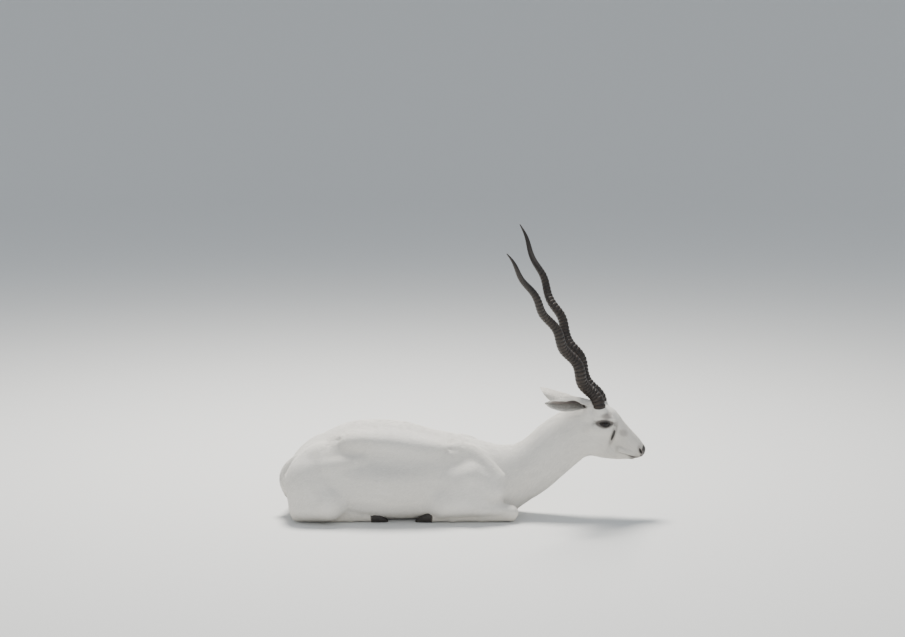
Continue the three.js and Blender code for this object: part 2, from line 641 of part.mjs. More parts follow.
function ear({ root, tip, open, bow }) {
  const from = fromHead(root);
  const axis = unit(sub(fromHead(tip), from));
  const wanted = turnFromHead(open);
  const mouth = unit(sub(wanted, scale(axis, dot(wanted, axis))));
  const across = cross(axis, mouth);
  const lift = unit(sub([0, 0, 1], scale(axis, axis[2])));
  const places = [0, 0.1, 0.22, 0.36, 0.5, 0.64, 0.77, 0.88, 0.96, 1];
  const half = 5;
  const rings = places.map((t) => {
    const roll = EAR_ROLL(t);
    const radius = EAR_WIDTH(t) / roll;
    const raise = bow * Math.sin(Math.PI * t); // the leaf bows a little along its length
    const middle = add(add(from, scale(axis, t * EAR_LENGTH)), scale(mouth, radius - EAR_SINK));
    const centre = add(middle, scale(lift, raise));
    const edge = (angle, offset) => add(centre, add(
      scale(mouth, -Math.cos(angle) * (radius + offset)),
      scale(across, Math.sin(angle) * (radius + offset)),
    ));
    const depth = (w) => (EAR_THICK(t) / 2) * (1.1 - 0.5 * w * w); // thinner towards the edges
    const outer = evenly(-1, 1, half * 2).map((w) => edge(w * roll, depth(w)));
    const inner = evenly(1, -1, half * 2).map((w) => edge(w * roll, -depth(w)));
    return [...outer, ...inner];
  });
  const sides = rings[0].length;
  const vertices = rings.flat();
  const triangles = [];
  for (let i = 0; i < rings.length - 1; i += 1) {
    for (let j = 0; j < sides; j += 1) {
      const k = (j + 1) % sides;
      const here = i * sides;
      const next = here + sides;
      triangles.push([here + j, next + k, here + k], [here + j, next + j, next + k]);
    }
  }
  const endStrip = (start, flip) => {
    for (let j = 0; j < half * 2; j += 1) {
      const [a, b] = [start + j, start + j + 1];
      const [c, d] = [start + sides - 2 - j, start + sides - 1 - j];
      const quad = [[a, b, c], [a, c, d]];
      quad.forEach((t) => triangles.push(flip ? [t[0], t[2], t[1]] : t));
    }
  };
  endStrip(0, false);
  endStrip((rings.length - 1) * sides, true);
  return solidOf(vertices, triangles);
}

// Eyelids: a raised rim round an almond-shaped opening, lying on the eyeball.

const LIDS = { corner: 1.12, upper: 0.44, lower: 0.5, outer: 1.45, thick: 2.6 };

function eyeFrame(side) {
  const out = unit([0.3, side, 0.16]);
  const level = [1, 0, 0.42]; // the slit runs level while the muzzle points down
  const along = unit(sub(level, scale(out, dot(level, out))));
  return { out, along, up: cross(out, along).map((v) => v * side) };
}

function lids(side) {
  const { out, along, up } = eyeFrame(side);
  const centre = [EYE_AT[0], side * EYE_AT[1], EYE_AT[2]];
  const count = 22;
  const rings = [];
  for (let i = 0; i < count; i += 1) {
    const turn = (2 * Math.PI * i) / count;
    const [c, s] = [Math.cos(turn), Math.sin(turn)];
    const lid = s > 0 ? LIDS.upper : LIDS.lower;
    const open = 1 / Math.hypot(c / LIDS.corner, s / lid);
    const at = (tilt, radius) => {
      const flat = add(scale(along, c * Math.sin(tilt)), scale(up, s * Math.sin(tilt)));
      return fromHead(add(centre, scale(add(flat, scale(out, Math.cos(tilt))), radius)));
    };
    const rim = EYE_RADIUS + LIDS.thick;
    rings.push([
      at(open, EYE_RADIUS + 0.1),
      at(open + 0.05, rim),
      at(open + 0.28, rim + 0.6),
      at(LIDS.outer + 0.15, rim - 1.5),
      at(LIDS.outer + 0.15, EYE_RADIUS - 3),
    ]);
  }
  const across = rings[0].length;
  const triangles = [];
  for (let i = 0; i < count; i += 1) {
    for (let j = 0; j < across; j += 1) {
      const [here, next] = [i * across, ((i + 1) % count) * across];
      const k = (j + 1) % across;
      const faces = [[here + j, here + k, next + k], [here + j, next + k, next + j]];
      faces.forEach((f) => triangles.push(side > 0 ? f : [f[0], f[2], f[1]]));
    }
  }
  return solidOf(rings.flat(), triangles);
}

const eyeball = (side, grow) => {
  const { out, along, up } = eyeFrame(side);
  const axes = [out, along, up.map((v) => v * side)].map(turnFromHead);
  const centre = fromHead([EYE_AT[0], side * EYE_AT[1], EYE_AT[2]]);
  return ball(centre, [1, 1, 1].map(() => EYE_RADIUS + grow), axes, 14, 8);
};

// Mouth: a thin groove between the lips, only as deep as the lips are thick.

const GROOVE = { height: 1.8, depth: 6, past: 240 };
function mouthGroove(core) {
  const stations = evenly(MOUTH_CORNER, GROOVE.past, 9);
  const rings = stations.map((s) => {
    const open = GROOVE.height * (0.3 + 0.7 * smoothstep(s, MOUTH_CORNER, MOUTH_CORNER + 25));
    const t = mouthLine(s);
    return [[s, -60, t - open / 2], [s, 60, t - open / 2], [s, 60, t + open / 2], [s, -60, t + open / 2]]
      .map(fromHead);
  });
  const middle = (s) => fromHead([s, 0, mouthLine(s)]);
  return ringSolid(rings, middle(MOUTH_CORNER), middle(GROOVE.past)).subtract(core);
}

// A hollow sunk in the skin of the face, long the way that lean gives.
function slit(side, [s, t], radii, lean, around = 8, down = 6) {
  const [c, d] = [Math.cos(radians(lean)), Math.sin(radians(lean))];
  const axes = [[c, 0, d], [0, side, 0], [-d * side, 0, c * side]].map(turnFromHead);
  const place = surfaceAlong(body, fromHead([s, 0, t]), scale(sideAxis, side), 0);
  return ball(place, radii, axes, around, down);
}

const headPlaces = [0, 9, 18, ...evenly(27, 186, 17), 193, 199, 203.5, 206.5, 208.5];
const headStations = stationsAlong(headKeys, headPlaces);
const backStation = { ...headStations[0], at: sub(headStations[0].at, [12, 0, 0]) };
const HEAD_SIDES = 30;
const headSkin = (grow) =>
  skin(body, [backStation, ...headStations], HEAD_SIDES, grow, ['flat', 'point']);
const headRoom = headSkin(GAP);

function head() {
  const core = skin(body, headStations.slice(14), 16, -GROOVE.depth, ['flat', 'point']);
  let solid = headSkin(0)
    .subtract(beyond(add(neckTop.at, scale(neckTop.forward, GAP / 2)), scale(neckTop.forward, -1)))
    .add(lids(1))
    .add(lids(-1))
    .subtract(mouthGroove(core));
  [1, -1].forEach((side) => {
    solid = solid
      .subtract(eyeball(side, GAP))
      .subtract(slit(side, [194, 10], [8, 6, 2.8], -42)) // nostril
      .subtract(slit(side, [95.5, 18], [18, 5, 3.2], -80)); // gland slit before the eye
  });
  return solid;
}

// Materials

const white = new THREE.MeshStandardMaterial({ color: 0xe9e5de, roughness: 0.9, metalness: 0 });
const hornBrown = new THREE.MeshStandardMaterial({ color: 0x2b2018, roughness: 0.55, metalness: 0 });
const hoofBlack = new THREE.MeshStandardMaterial({ color: 0x1f1b18, roughness: 0.5, metalness: 0 });
const eyeDark = new THREE.MeshStandardMaterial({ color: 0x120c08, roughness: 0.08, metalness: 0 });

const blackbuck = new THREE.Group();

function addNode(name, solid, material) {
  const mesh = largest(solid).getMesh();
  const geometry = new THREE.BufferGeometry();
  geometry.setAttribute('position', new THREE.BufferAttribute(new Float32Array(mesh.vertProperties), 3));
  geometry.setIndex(new THREE.BufferAttribute(new Uint32Array(mesh.triVerts), 1));
  geometry.computeVertexNormals();
  const node = new THREE.Mesh(geometry, material);
  node.name = name;
  blackbuck.add(node);
}

// Trunk and upper limbs

const SIDES = [['left', 1], ['right', -1]];
let torso = trunkSkin;
SIDES.forEach(([name, side]) => {
  Object.entries(UPPER_LIMBS).forEach(([part, oval]) => {
    addNode(`${part}_${name}`, trunkSkin.intersect(upperLimbRoom(oval, side, -GAP / 2)), white);
    torso = torso.subtract(upperLimbRoom(oval, side, GAP / 2));
  });
});
addNode('torso', torso, white);
addNode('neck', neck, white);
addNode('head', head(), white);

// Tail

const tailStations = stationsAlong(
  [
    { place: 0, at: [-512, 0, 173], forward: [-0.9, 0, -0.45], side: LEFT },
    { place: 1, at: [-537, 0, 155], forward: [-0.65, 0, -0.75], side: LEFT },
    { place: 2, at: [-552, 0, 124], forward: [-0.2, 0, -1], side: LEFT },
    { place: 3, at: [-552, 0, 92], forward: [0.1, 0, -1], side: LEFT },
    { place: 4, at: [-546, 0, 64], forward: [0.22, 0, -1], side: LEFT },
  ],
  evenly(0, 4, 8),
);
const TAIL_SIDES = 10;
const tail = skin(joined(tailMasses), tailStations, TAIL_SIDES, 0, ['flat', 'point']);
addNode('tail', tail.subtract(trunkRoom), white);

// Eyes, ears and horns

SIDES.forEach(([name, side]) => {
  addNode(`eye_${name}`, eyeball(side, 0), eyeDark);
  addNode(`ear_${name}`, ear(EARS[name])
    .subtract(headRoom)
    .subtract(neckRoom)
    .subtract(horn(side, GAP)), white);
  addNode(`horn_${name}`, horn(side).subtract(headRoom).subtract(neckRoom), hornBrown);
});

// Lower limbs: the forearm lies on its own cannon, and the shank beside the hind one.

const CARPUS_SPLIT = 26; // height of the cut between forearm and cannon
const FETLOCK = { fore: -30, hind: -342 };
const CORONET = { fore: -94, hind: -276 };
const HIND_OUT = LEG_OUT - 2;

SIDES.forEach(([name, side]) => {
  const [elbow, carpus] = [[-86, 109, 55], [169, 102, 32]];
  const forearm = limbSkin(forearmMasses, side, elbow, carpus, 13);
  const forearmRoom = limbSkin(forearmMasses, side, elbow, carpus, 13, GAP);
  addNode(`forearm_${name}`, forearm
    .subtract(trunkRoom)
    .subtract(beyond([0, 0, CARPUS_SPLIT + GAP / 2], [0, 0, -1])), white);

  const foreCannon = limbSkin(foreCannonMasses, side, [163, LEG_OUT + 1, 18], [-40, LEG_OUT, 16], 10);
  addNode(`cannon_fore_${name}`, foreCannon
    .subtract(trunkRoom)
    .subtract(beyond([0, 0, CARPUS_SPLIT - GAP / 2], [0, 0, 1]))
    .subtract(beyond([FETLOCK.fore + GAP / 2, 0, 0], [-1, 0, 0]))
    .subtract(floorBlock), white);

  const [stifle, hock] = [[-398, 122, 54], [-517, 105, 33]];
  const shank = limbSkin(shankMasses, side, stifle, hock, 10);
  const shankRoom = limbSkin(shankMasses, side, stifle, hock, 10, GAP);
  addNode(`shank_${name}`, shank.subtract(trunkRoom).subtract(floorBlock), white);

  const hindCannon = limbSkin(hindCannonMasses, side, [-516, LEG_OUT + 4, 22], [-335, HIND_OUT, 16], 10);
  addNode(`cannon_hind_${name}`, hindCannon
    .subtract(trunkRoom)
    .subtract(shankRoom)
    .subtract(beyond([FETLOCK.hind - GAP / 2, 0, 0], [1, 0, 0]))
    .subtract(floorBlock), white);

  const forePastern = limbSkin(
    forePasternMasses,
    side,
    [FETLOCK.fore - GAP / 2, LEG_OUT, 16],
    [CORONET.fore, LEG_OUT, 16],
    5,
    0,
    FLAT,
  );
  addNode(`pastern_fore_${name}`, forePastern
    .subtract(trunkRoom)
    .subtract(forearmRoom)
    .subtract(floorBlock), white);

  const hindPastern = limbSkin(
    hindPasternMasses,
    side,
    [FETLOCK.hind + GAP / 2, HIND_OUT, 16],
    [CORONET.hind, HIND_OUT, 16],
    5,
    0,
    FLAT,
  );
  addNode(`pastern_hind_${name}`, hindPastern.subtract(trunkRoom).subtract(floorBlock), white);

  [['outer', true], ['inner', false]].forEach(([which, outer]) => {
    const fore = claw([CORONET.fore - GAP, LEG_OUT], -1, side, outer);
    const hind = claw([CORONET.hind + GAP, HIND_OUT], 1, side, outer);
    addNode(`claw_fore_${which}_${name}`, fore.subtract(trunkRoom), hoofBlack);
    addNode(`claw_hind_${which}_${name}`, hind.subtract(trunkRoom), hoofBlack);
  });
});

export default blackbuck;
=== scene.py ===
# A white blackbuck ram lying with folded legs: its skin, coat, ears, eyes, horns and hooves.
# Shapes are worked out in millimetres: +X towards the nose, +Y to the animal's left, +Z up.
import math

import bpy
from mathutils.kdtree import KDTree
import numpy as np
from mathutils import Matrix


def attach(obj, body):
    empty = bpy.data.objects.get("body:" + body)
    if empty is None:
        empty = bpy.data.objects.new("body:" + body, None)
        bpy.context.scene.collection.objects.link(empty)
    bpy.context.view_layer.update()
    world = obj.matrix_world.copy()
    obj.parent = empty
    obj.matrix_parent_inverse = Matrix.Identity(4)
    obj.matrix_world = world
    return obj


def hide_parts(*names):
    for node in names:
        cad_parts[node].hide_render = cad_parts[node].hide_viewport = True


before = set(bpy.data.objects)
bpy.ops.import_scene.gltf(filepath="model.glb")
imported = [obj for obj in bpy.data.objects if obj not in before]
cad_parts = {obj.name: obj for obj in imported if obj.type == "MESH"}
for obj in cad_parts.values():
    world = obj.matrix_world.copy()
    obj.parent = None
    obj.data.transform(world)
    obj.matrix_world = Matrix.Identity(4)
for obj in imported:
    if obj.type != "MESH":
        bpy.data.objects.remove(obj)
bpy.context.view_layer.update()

MM = 0.001
SEED = 11

# Driving dimensions in mm, the same as those of the frame

BACK_HEIGHT = 303
TRUNK_HALF_WIDTH = 152
BELLY_SINK = 6
LEG_OUT = 100
HEAD_ORIGIN = np.array([375, -4, 292.0])
HEAD_PITCH = math.radians(27)
HEAD_SIDE = np.array([0.127, 0.982, 0.12])
EYE_RADIUS = 16
EYE_AT = (54, 35, 40)
HORN_BASE = (15, 27, 72)
HORN_LENGTH = 583
HORN_BACK = math.radians(144.4)
HORN_TIP_OUT = 204
HORN_PITCH = 132
EAR_LENGTH = 153
EAR_HALF_WIDTH = 44

# Vectors and curves


def unit(v):
    v = np.asarray(v, float)
    return v / np.maximum(np.linalg.norm(v, axis=-1, keepdims=True), 1e-9)


def dots(a, b):
    return (a * b).sum(-1)


def smooth(value, low, high):
    """0 below low, 1 above high, and a soft ramp between."""
    t = np.clip((value - low) / (high - low), 0, 1)
    return t * t * (3 - 2 * t)


def hump(value, centre, width):
    return np.exp(-(((value - centre) / width) ** 2))


def spline(places, values):
    """A smooth curve through values given at increasing places, held level beyond both ends."""
    places = np.asarray(places, float)
    values = np.asarray(values, float)
    last = len(places) - 1
    low = np.maximum(np.arange(last + 1) - 1, 0)
    high = np.minimum(np.arange(last + 1) + 1, last)
    run = places[high] - places[low]
    rise = (values[high] - values[low]) / (run if values.ndim == 1 else run[:, None])

    def curve(at):
        x = np.clip(np.asarray(at, float), places[0], places[-1])
        i = np.clip(np.searchsorted(places, x) - 1, 0, last - 1)
        span = places[i + 1] - places[i]
        t = (x - places[i]) / span
        if values.ndim > 1:
            t, span = t[..., None], span[..., None]
        ease = values[i] + (values[i + 1] - values[i]) * t * t * (3 - 2 * t)
        leave = t * (1 - t) ** 2 * span * rise[i]
        arrive = t * t * (t - 1) * span * rise[i + 1]
        return ease + leave + arrive

    return curve


# Distance fields: negative inside flesh. Each mass melts into the rest over its blend length.


def melt(a, b, blend):
    near = np.maximum(blend - np.abs(a - b), 0) / blend
    return np.minimum(a, b) - near * near * blend * 0.25


def mass(depth, blend, low, high, carve=False):
    return {"depth": depth, "blend": blend, "low": low, "high": high, "carve": carve}


def limb(ends, radius_start, radius_end, blend):
    """Two balls and the cone between them."""
    start, end = np.array(ends, float)
    axis = end - start
    reach = max(radius_start, radius_end)

    def depth(p):
        q = p - start
        t = np.clip(q @ axis / (axis @ axis), 0, 1)
        off = q - t[:, None] * axis
        return np.linalg.norm(off, axis=1) - radius_start - (radius_end - radius_start) * t

    return mass(depth, blend, np.minimum(start, end) - reach, np.maximum(start, end) + reach)


def lump(centre, radii, blend, turn=0.0, carve=False):
    """An ellipsoid, turned about the side axis by so many degrees."""
    centre, radii = np.array(centre, float), np.array(radii, float)
    c, s = math.cos(math.radians(turn)), math.sin(math.radians(turn))
    axes = np.array([[c, 0, -s], [0, 1, 0], [s, 0, c]])
    reach = radii.max()

    def depth(p):
        local = (p - centre) @ axes.T
        near = np.linalg.norm(local / radii, axis=1)
        steep = np.linalg.norm(local / (radii * radii), axis=1)
        return near * (near - 1) / np.maximum(steep, 1e-9)

    return mass(depth, blend, centre - reach, centre + reach, carve)


def bend(points, radii, flats, blend, count):
    """A bent tube through points, with a radius and a sideways flatness at each."""
    places = np.arange(len(points))
    nodes = np.linspace(0, len(points) - 1, count + 1)
    centres = spline(places, points)(nodes)
    sizes = spline(places, radii)(nodes)
    flat = spline(places, flats)(nodes)
    reach = sizes.max()

    def depth(p):
        best = np.full(len(p), 1e3)
        for i in range(count):
            axis = centres[i + 1] - centres[i]
            q = p - centres[i]
            t = np.clip(q @ axis / (axis @ axis), 0, 1)
            off = q - t[:, None] * axis
            across = np.hypot(off[:, 0], off[:, 2])
            squash = flat[i] + (flat[i + 1] - flat[i]) * t
            size = sizes[i] + (sizes[i + 1] - sizes[i]) * t
            best = np.minimum(best, (np.hypot(off[:, 1] / squash, across) - size) * squash)
        return best

    return mass(depth, blend, centres.min(0) - reach, centres.max(0) + reach)


def sided(side, rows):
    """The masses on one side, from rows of a maker, its points on the left side, and its sizes."""
    flip = (1, side, 1)
    return [maker(np.array(points, float) * flip, *sizes) for maker, points, *sizes in rows]


CULL_MARGIN = 14


def joined(masses, start=None):
    """One field of several masses. Each is worked out only near its own box."""

    def field(p):
        result = np.full(len(p), 1e3) if start is None else start(p)
        for m in masses:
            margin = m["blend"] + CULL_MARGIN
            near = ((p > m["low"] - margin) & (p < m["high"] + margin)).all(1)
            if not near.any():
                continue
            own = m["depth"](p[near])
            was = result[near]
            if m["carve"]:
                result[near] = -melt(-was, own, m["blend"])
            else:
                result[near] = melt(was, own, m["blend"])
        return result

    return field


# Trunk

TRUNK_REAR, TRUNK_REAR_LENGTH = -500, 56
TRUNK_FRONT, TRUNK_FRONT_LENGTH = 130, 58
top_line = spline(
    [-556, -532, -476, -411, -340, -263, -182, -136, -90, -25, 22, 68, 124, 190],
    [140, 168, 222, 268, 296, BACK_HEIGHT - 1, 296, 284, 270, 257, 238, 218, 197, 186],
)
under_line = spline(
    [-556, -500, -420, -263, -90, 22, 100, 150, 190],
    [62, 30, 4, -BELLY_SINK, -BELLY_SINK, -BELLY_SINK, -2, 8, 30],
)
widest_line = spline([-556, -411, -263, -90, 22, 124, 190], [118, 128, 112, 112, 108, 104, 110])
width_line = spline(
    [-556, -500, -430, -340, -263, -183, -90, -25, 50, 124, 190],
    [84, 102, 120, 140, TRUNK_HALF_WIDTH, TRUNK_HALF_WIDTH - 2, 134, 116, 96, 78, 66],
)


def trunk(p):
    x, y, z = p.T
    widest = widest_line(x)
    height = z - widest
    up = height > 0
    half = np.where(up, top_line(x) - widest, widest - under_line(x))
    width = width_line(x)
    power = np.where(up, 2.0, 2.35)  # round over the back, squarer below
    rear = np.maximum(TRUNK_REAR - x, 0) / TRUNK_REAR_LENGTH
    front = np.maximum(x - TRUNK_FRONT, 0) / TRUNK_FRONT_LENGTH
    total = (np.abs(y) / width) ** power + (np.abs(height) / half) ** power
    total += np.maximum(rear, front) ** power
    return (total ** (1 / power) - 1) * np.minimum(np.minimum(width, half), 110) * 0.9


neck = bend(
    [[70, 0, 124], [120, 0, 120], [172, 0, 129], [213, -1, 150.5], [253, -2, 181.5],
     [293, -3, 218.5], [329, -4, 248], [355, -4, 272]],
    [92, 92, 92, 88, 84.5, 85, 81, 72],
    [0.66, 0.66, 0.67, 0.68, 0.67, 0.67, 0.68, 0.7],
    45,
    18,
)


# Masses on the trunk, for the left side
LOIN = [
    (lump, [-205, 86, 239], [150, 26, 24], 40, 5),
    (lump, [-262, 158, 208], [124, 28, 26], 48, 5, True),
]
HAUNCH = [
    (lump, [-428, 74, 140], [92, 60, 84], 40),
    (limb, [[-462, 74, 136], [-412, 119, 74]], 70, 48, 20),
    (lump, [-470, 90, 84], [66, 58, 72], 30),
    (limb, [[-412, 116, 176], [-300, 108, 198]], 14, 6, 24),  # fold of the flank
    (lump, [-448, 76, 212], [34, 18, 18], 28, -30),  # hip
]
SHOULDER = [
    (lump, [34, 64, 168], [54, 32, 86], 24, -44),
    (bend, [[-20, 50, 234], [12, 62, 222], [40, 70, 204], [67, 76, 187], [91, 82, 164],
            [108, 84, 138]], [9, 12, 14, 15, 17, 20], [1, 1, 1, 1, 1, 1], 12, 8),
    (limb, [[30, 84, 140], [102, 76, 108]], 48, 38, 22),
    (limb, [[96, 84, 98], [-50, 106, 66]], 38, 36, 18),
    (lump, [-12, 95, 100], [68, 42, 70], 20, 16),
]

# Head, in its own frame: forward along the muzzle, aside to the left, up through the brow.

side_axis = unit(HEAD_SIDE)
level_forward = unit(np.array([1, 0, 0]) - side_axis * side_axis[0])
level_up = np.cross(level_forward, side_axis)
head_forward = level_forward * math.cos(HEAD_PITCH) - level_up * math.sin(HEAD_PITCH)
head_up = np.cross(head_forward, side_axis)
HEAD_AXES = np.array([head_forward, side_axis, head_up])


def to_head(p):
    return (p - HEAD_ORIGIN) @ HEAD_AXES.T


def turn_from_head(v):
    return np.asarray(v, float) @ HEAD_AXES


def from_head(v):
    return turn_from_head(v) + HEAD_ORIGIN


mouth_line = spline([118, 150, 178, 200, 216], [-25, -23, -19, -13, -9])
MOUTH_CORNER = 126
EAR_BASE = {1: (-16, 33, 48), -1: (-14, 29, 66)}  # where the ears grow from


def lip(low_end, high_end, offset, radii):
    """A row for a lip, whose ends lie a given offset from the parting."""
    ends = [[s, y, mouth_line(s) + offset] for s, y in (low_end, high_end)]
    return (limb, ends, *radii, 8)


def head_side(side):
    return sided(side, [
        (lump, [44, 24, -26], [50, 22, 46], 18),  # cheek
        (limb, [[30, 40, 12], [84, 31, 22]], 15, 9, 16),  # cheek bone
        (lump, [54, 30, 41], [30, 18, 24], 12),  # orbit
        (lump, [52, 33, 58], [27, 12, 9], 10),  # brow
        (lump, [54, 55, 40], [21, 16, 14], 8, 0, True),  # hollow that the eye lies in
        (limb, [[28, 26, 44], [21, 33, 69]], 24, 21.5, 16),  # horn pedicle
        (limb, [[-2, 28, 42], EAR_BASE[side]], 18, 14, 16),  # ear root
        lip((136, 19), (190, 12), 6.5, (8, 6.5)),
        lip((140, 15), (182, 8), -6, (8, 6)),
        (lump, [186, 12, 9], [14, 8, 9], 7),  # wing of the nostril
    ])


head_masses = [
    lump([20, 0, 30], [54, 44, 48], 20),  # skull
    lump([50, 0, 40], [46, 38, 38], 20),  # forehead
    bend(
        [[62, 0, 24], [95, 0, 20], [130, 0, 16], [162, 0, 11], [187, 0, 3]],
        [54, 45, 36, 30, 25],
        [0.7, 0.66, 0.7, 0.76, 0.86],
        16,
        12,
    ),  # nose and upper jaw
    bend(
        [[30, 0, -42], [76, 0, -46], [120, 0, -38], [154, 0, -28], [175, 0, -20]],
        [38, 34, 27, 20, 14],
        [0.95, 0.85, 0.82, 0.9, 1.05],
        16,
        12,
    ),  # lower jaw
    lump([187, 0, 6], [19, 20, 18], 8),  # nose
    *head_side(1),
    *head_side(-1),
]
head_field = joined(head_masses)
HEAD_BLEND = 22
FACE_FROM = 380  # the folds of the face all lie ahead of this
trunk_masses = [sided(side, rows) for rows in (LOIN, HAUNCH, SHOULDER) for side in (1, -1)]
trunk_field = joined([neck, *sum(trunk_masses, [])], trunk)

# Folded legs, for the left side, and the tail


HIND_OUT = LEG_OUT - 2
FOREARM = [
    (limb, [[-56, 109, 58], [60, 108, 44]], 32, 22, 14),
    (limb, [[60, 108, 44], [148, 103, 36]], 22, 17, 12),
    (lump, [-66, 110, 52], [22, 24, 32], 12),
    (lump, [148, 102, 30], [25, 20, 22], 10),
]
FORE_CANNON = [
    (limb, [[150, LEG_OUT + 1, 19], [60, LEG_OUT, 13]], 17, 13, 6),
    (limb, [[60, LEG_OUT, 13], [-22, LEG_OUT, 14]], 13, 14, 6),
    (lump, [-30, LEG_OUT, 16.5], [18, 17, 17.5], 8),
    (limb, [[-34, LEG_OUT, 16], [-92, LEG_OUT, 15]], 15, 15, 8),
    (lump, [-47, LEG_OUT + 8, 29], [8, 5, 7], 4),  # dewclaws
    (lump, [-47, LEG_OUT - 8, 29], [8, 5, 7], 4),
]
SHANK = [
    (limb, [[-408, 122, 54], [-488, 112, 42]], 41, 28, 14),
    (limb, [[-474, 112, 42], [-506, 106, 34]], 26, 17, 14),
]
HIND_CANNON = [
    (limb, [[-503, HIND_OUT + 6, 22], [-430, HIND_OUT + 2, 14.5]], 19, 15, 8),
    (limb, [[-430, HIND_OUT + 2, 14.5], [-350, HIND_OUT, 14.5]], 15, 15, 6),
    (lump, [-342, HIND_OUT, 17], [19, 17.5, 18], 8),
    (limb, [[-338, HIND_OUT, 16.5], [-278, HIND_OUT, 15]], 15.5, 15, 8),
]
tail = bend(
    [[-506, 0, 176], [-537, 0, 155], [-552, 0, 124], [-552, 0, 92], [-545, 0, 62]],
    [17, 14, 15, 13, 7],
    [1, 1.1, 1.25, 1.3, 1.3],
    12,
    8,
)
# Each part's field, the way its hair lies, and the blend length where it lies against the rest.
PARTS = [(None, None, 0)]
for mirror in (1, -1):
    PARTS += [(joined(sided(mirror, rows)), way, fold) for rows, way, fold in (
        (FOREARM, (0.97, 0, -0.12), 34),
        (FORE_CANNON, (-1, 0, 0), 6),
        (SHANK, (-0.97, 0, -0.15), 34),
        (HIND_CANNON, (1, 0, 0), 6),
    )]
PARTS.append((joined([tail]), (-0.25, 0, -1), 8))


def body_field(p):
    return melt(trunk_field(p), head_field(to_head(p)), HEAD_BLEND)


def part_depths(p):
    return np.array([body_field(p), *(field(p) for field, _, _ in PARTS[1:])])


COAT = {"trunk": 2.2, "face": 0.7, "feet": 1.0}  # how far the skin lies inside the coat


def coat_depth(p):
    s = to_head(p)[:, 0]
    face = smooth(s, -40, 50) * smooth(p[:, 0], 330, 390)
    feet = smooth(-p[:, 2], -60, -30) * (1 - face)
    depth = COAT["trunk"] + (COAT["face"] - COAT["trunk"]) * face
    return depth + (COAT["feet"] - COAT["trunk"]) * feet


FLOOR_CLEARANCE = 0.4


def flesh(p):
    """The skin's own field, inside the frame's by the depth of the coat and flat on the floor."""
    depths = part_depths(p)
    result = depths[0]
    for own, (_, _, fold) in zip(depths[1:], PARTS[1:]):
        result = melt(result, own, fold)
    return np.maximum(result + coat_depth(p), FLOOR_CLEARANCE - p[:, 2])


# Skin mesh: a net of squares round the field, made finer on the head


CELLS_A_BLOCK = 4


def surface_net(field, low, high, cell):
    """One vertex in each cell that the surface crosses, and a quad for each crossed edge."""
    low, block = np.array(low, float), CELLS_A_BLOCK
    count = np.ceil((np.array(high) - low) / cell / block).astype(int)
    wide = cell * block
    axes = [low[i] + wide * (np.arange(count[i]) + 0.5) for i in range(3)]
    middles = np.stack(np.meshgrid(*axes, indexing="ij"), -1).reshape(-1, 3)
    coarse = field(middles).reshape(count)
    near = np.abs(coarse) < wide * 1.7

    def spread(grid):
        for axis in range(3):
            grid = np.repeat(grid, block, axis)
        return grid

    value = np.pad(spread(np.where(coarse > 0, wide, -wide)), ((0, 1),) * 3, mode="edge")
    wanted = np.zeros(value.shape, bool)
    fine = spread(near)
    size = fine.shape
    corners = np.stack(np.meshgrid([0, 1], [0, 1], [0, 1], indexing="ij"), -1).reshape(-1, 3)
    for i, j, k in corners:
        wanted[i:size[0] + i, j:size[1] + j, k:size[2] + k] |= fine
    value[wanted] = field(low + np.argwhere(wanted) * cell)
    inside = value < 0
    total = np.zeros(size, np.int8)
    for i, j, k in corners:
        total += inside[i:size[0] + i, j:size[1] + j, k:size[2] + k]
    crossed = (total > 0) & (total < 8)
    cells = np.argwhere(crossed)
    index = np.full(size, -1)
    index[crossed] = np.arange(len(cells))
    place = np.zeros((len(cells), 3))
    hits = np.zeros(len(cells))
    for a in corners:
        for axis in range(3):
            if a[axis]:
                continue
            b = a.copy()
            b[axis] = 1
            at_a = value[tuple((cells + a).T)]
            at_b = value[tuple((cells + b).T)]
            cut = (at_a < 0) != (at_b < 0)
            share = at_a[cut] / (at_a[cut] - at_b[cut])
            place[cut] += a + (b - a) * share[:, None]
            hits[cut] += 1
    vertices = low + (cells + place / hits[:, None]) * cell
    quads = []
    for axis in range(3):
        first = np.take(inside, range(inside.shape[axis] - 1), axis)
        second = np.take(inside, range(1, inside.shape[axis]), axis)
        edges = np.argwhere(first != second)
        u, v = (axis + 1) % 3, (axis + 2) % 3
        edges = edges[(edges[:, u] > 0) & (edges[:, v] > 0)]
        step_u, step_v = np.eye(3, dtype=int)[u], np.eye(3, dtype=int)[v]
        ring = [edges - step_u - step_v, edges - step_v, edges, edges - step_u]
        quad = np.stack([index[tuple(corner.T)] for corner in ring], 1)
        flip = ~inside[tuple(edges.T)]
        quad[flip] = quad[flip][:, ::-1]
        quads.append(quad)
    return vertices, np.concatenate(quads)


SLOPE_STEP = 0.4
LONGEST_MOVE = 3.0


def slope(field, p):
    """The field's value and gradient."""
    value = field(p)
    gradient = np.empty_like(p)
    for axis in range(3):
        ahead = p.copy()
        ahead[:, axis] += SLOPE_STEP
        gradient[:, axis] = (field(ahead) - value) / SLOPE_STEP
    return value, gradient


def settle(p):
    """Moves points onto the skin's surface. Gives them and the surface's normals there."""
    value, gradient = slope(flesh, p)
    move = -(value / np.maximum(dots(gradient, gradient), 0.05))[:, None] * gradient
    length = np.linalg.norm(move, axis=1)
    p = p + move * np.minimum(1, LONGEST_MOVE / np.maximum(length, 1e-9))[:, None]
    return p, unit(gradient)


def edge_keys(polygons, count):
    pairs = np.sort(np.stack([polygons, np.roll(polygons, -1, axis=1)], -1), -1)
    return pairs[..., 0] * count + pairs[..., 1]


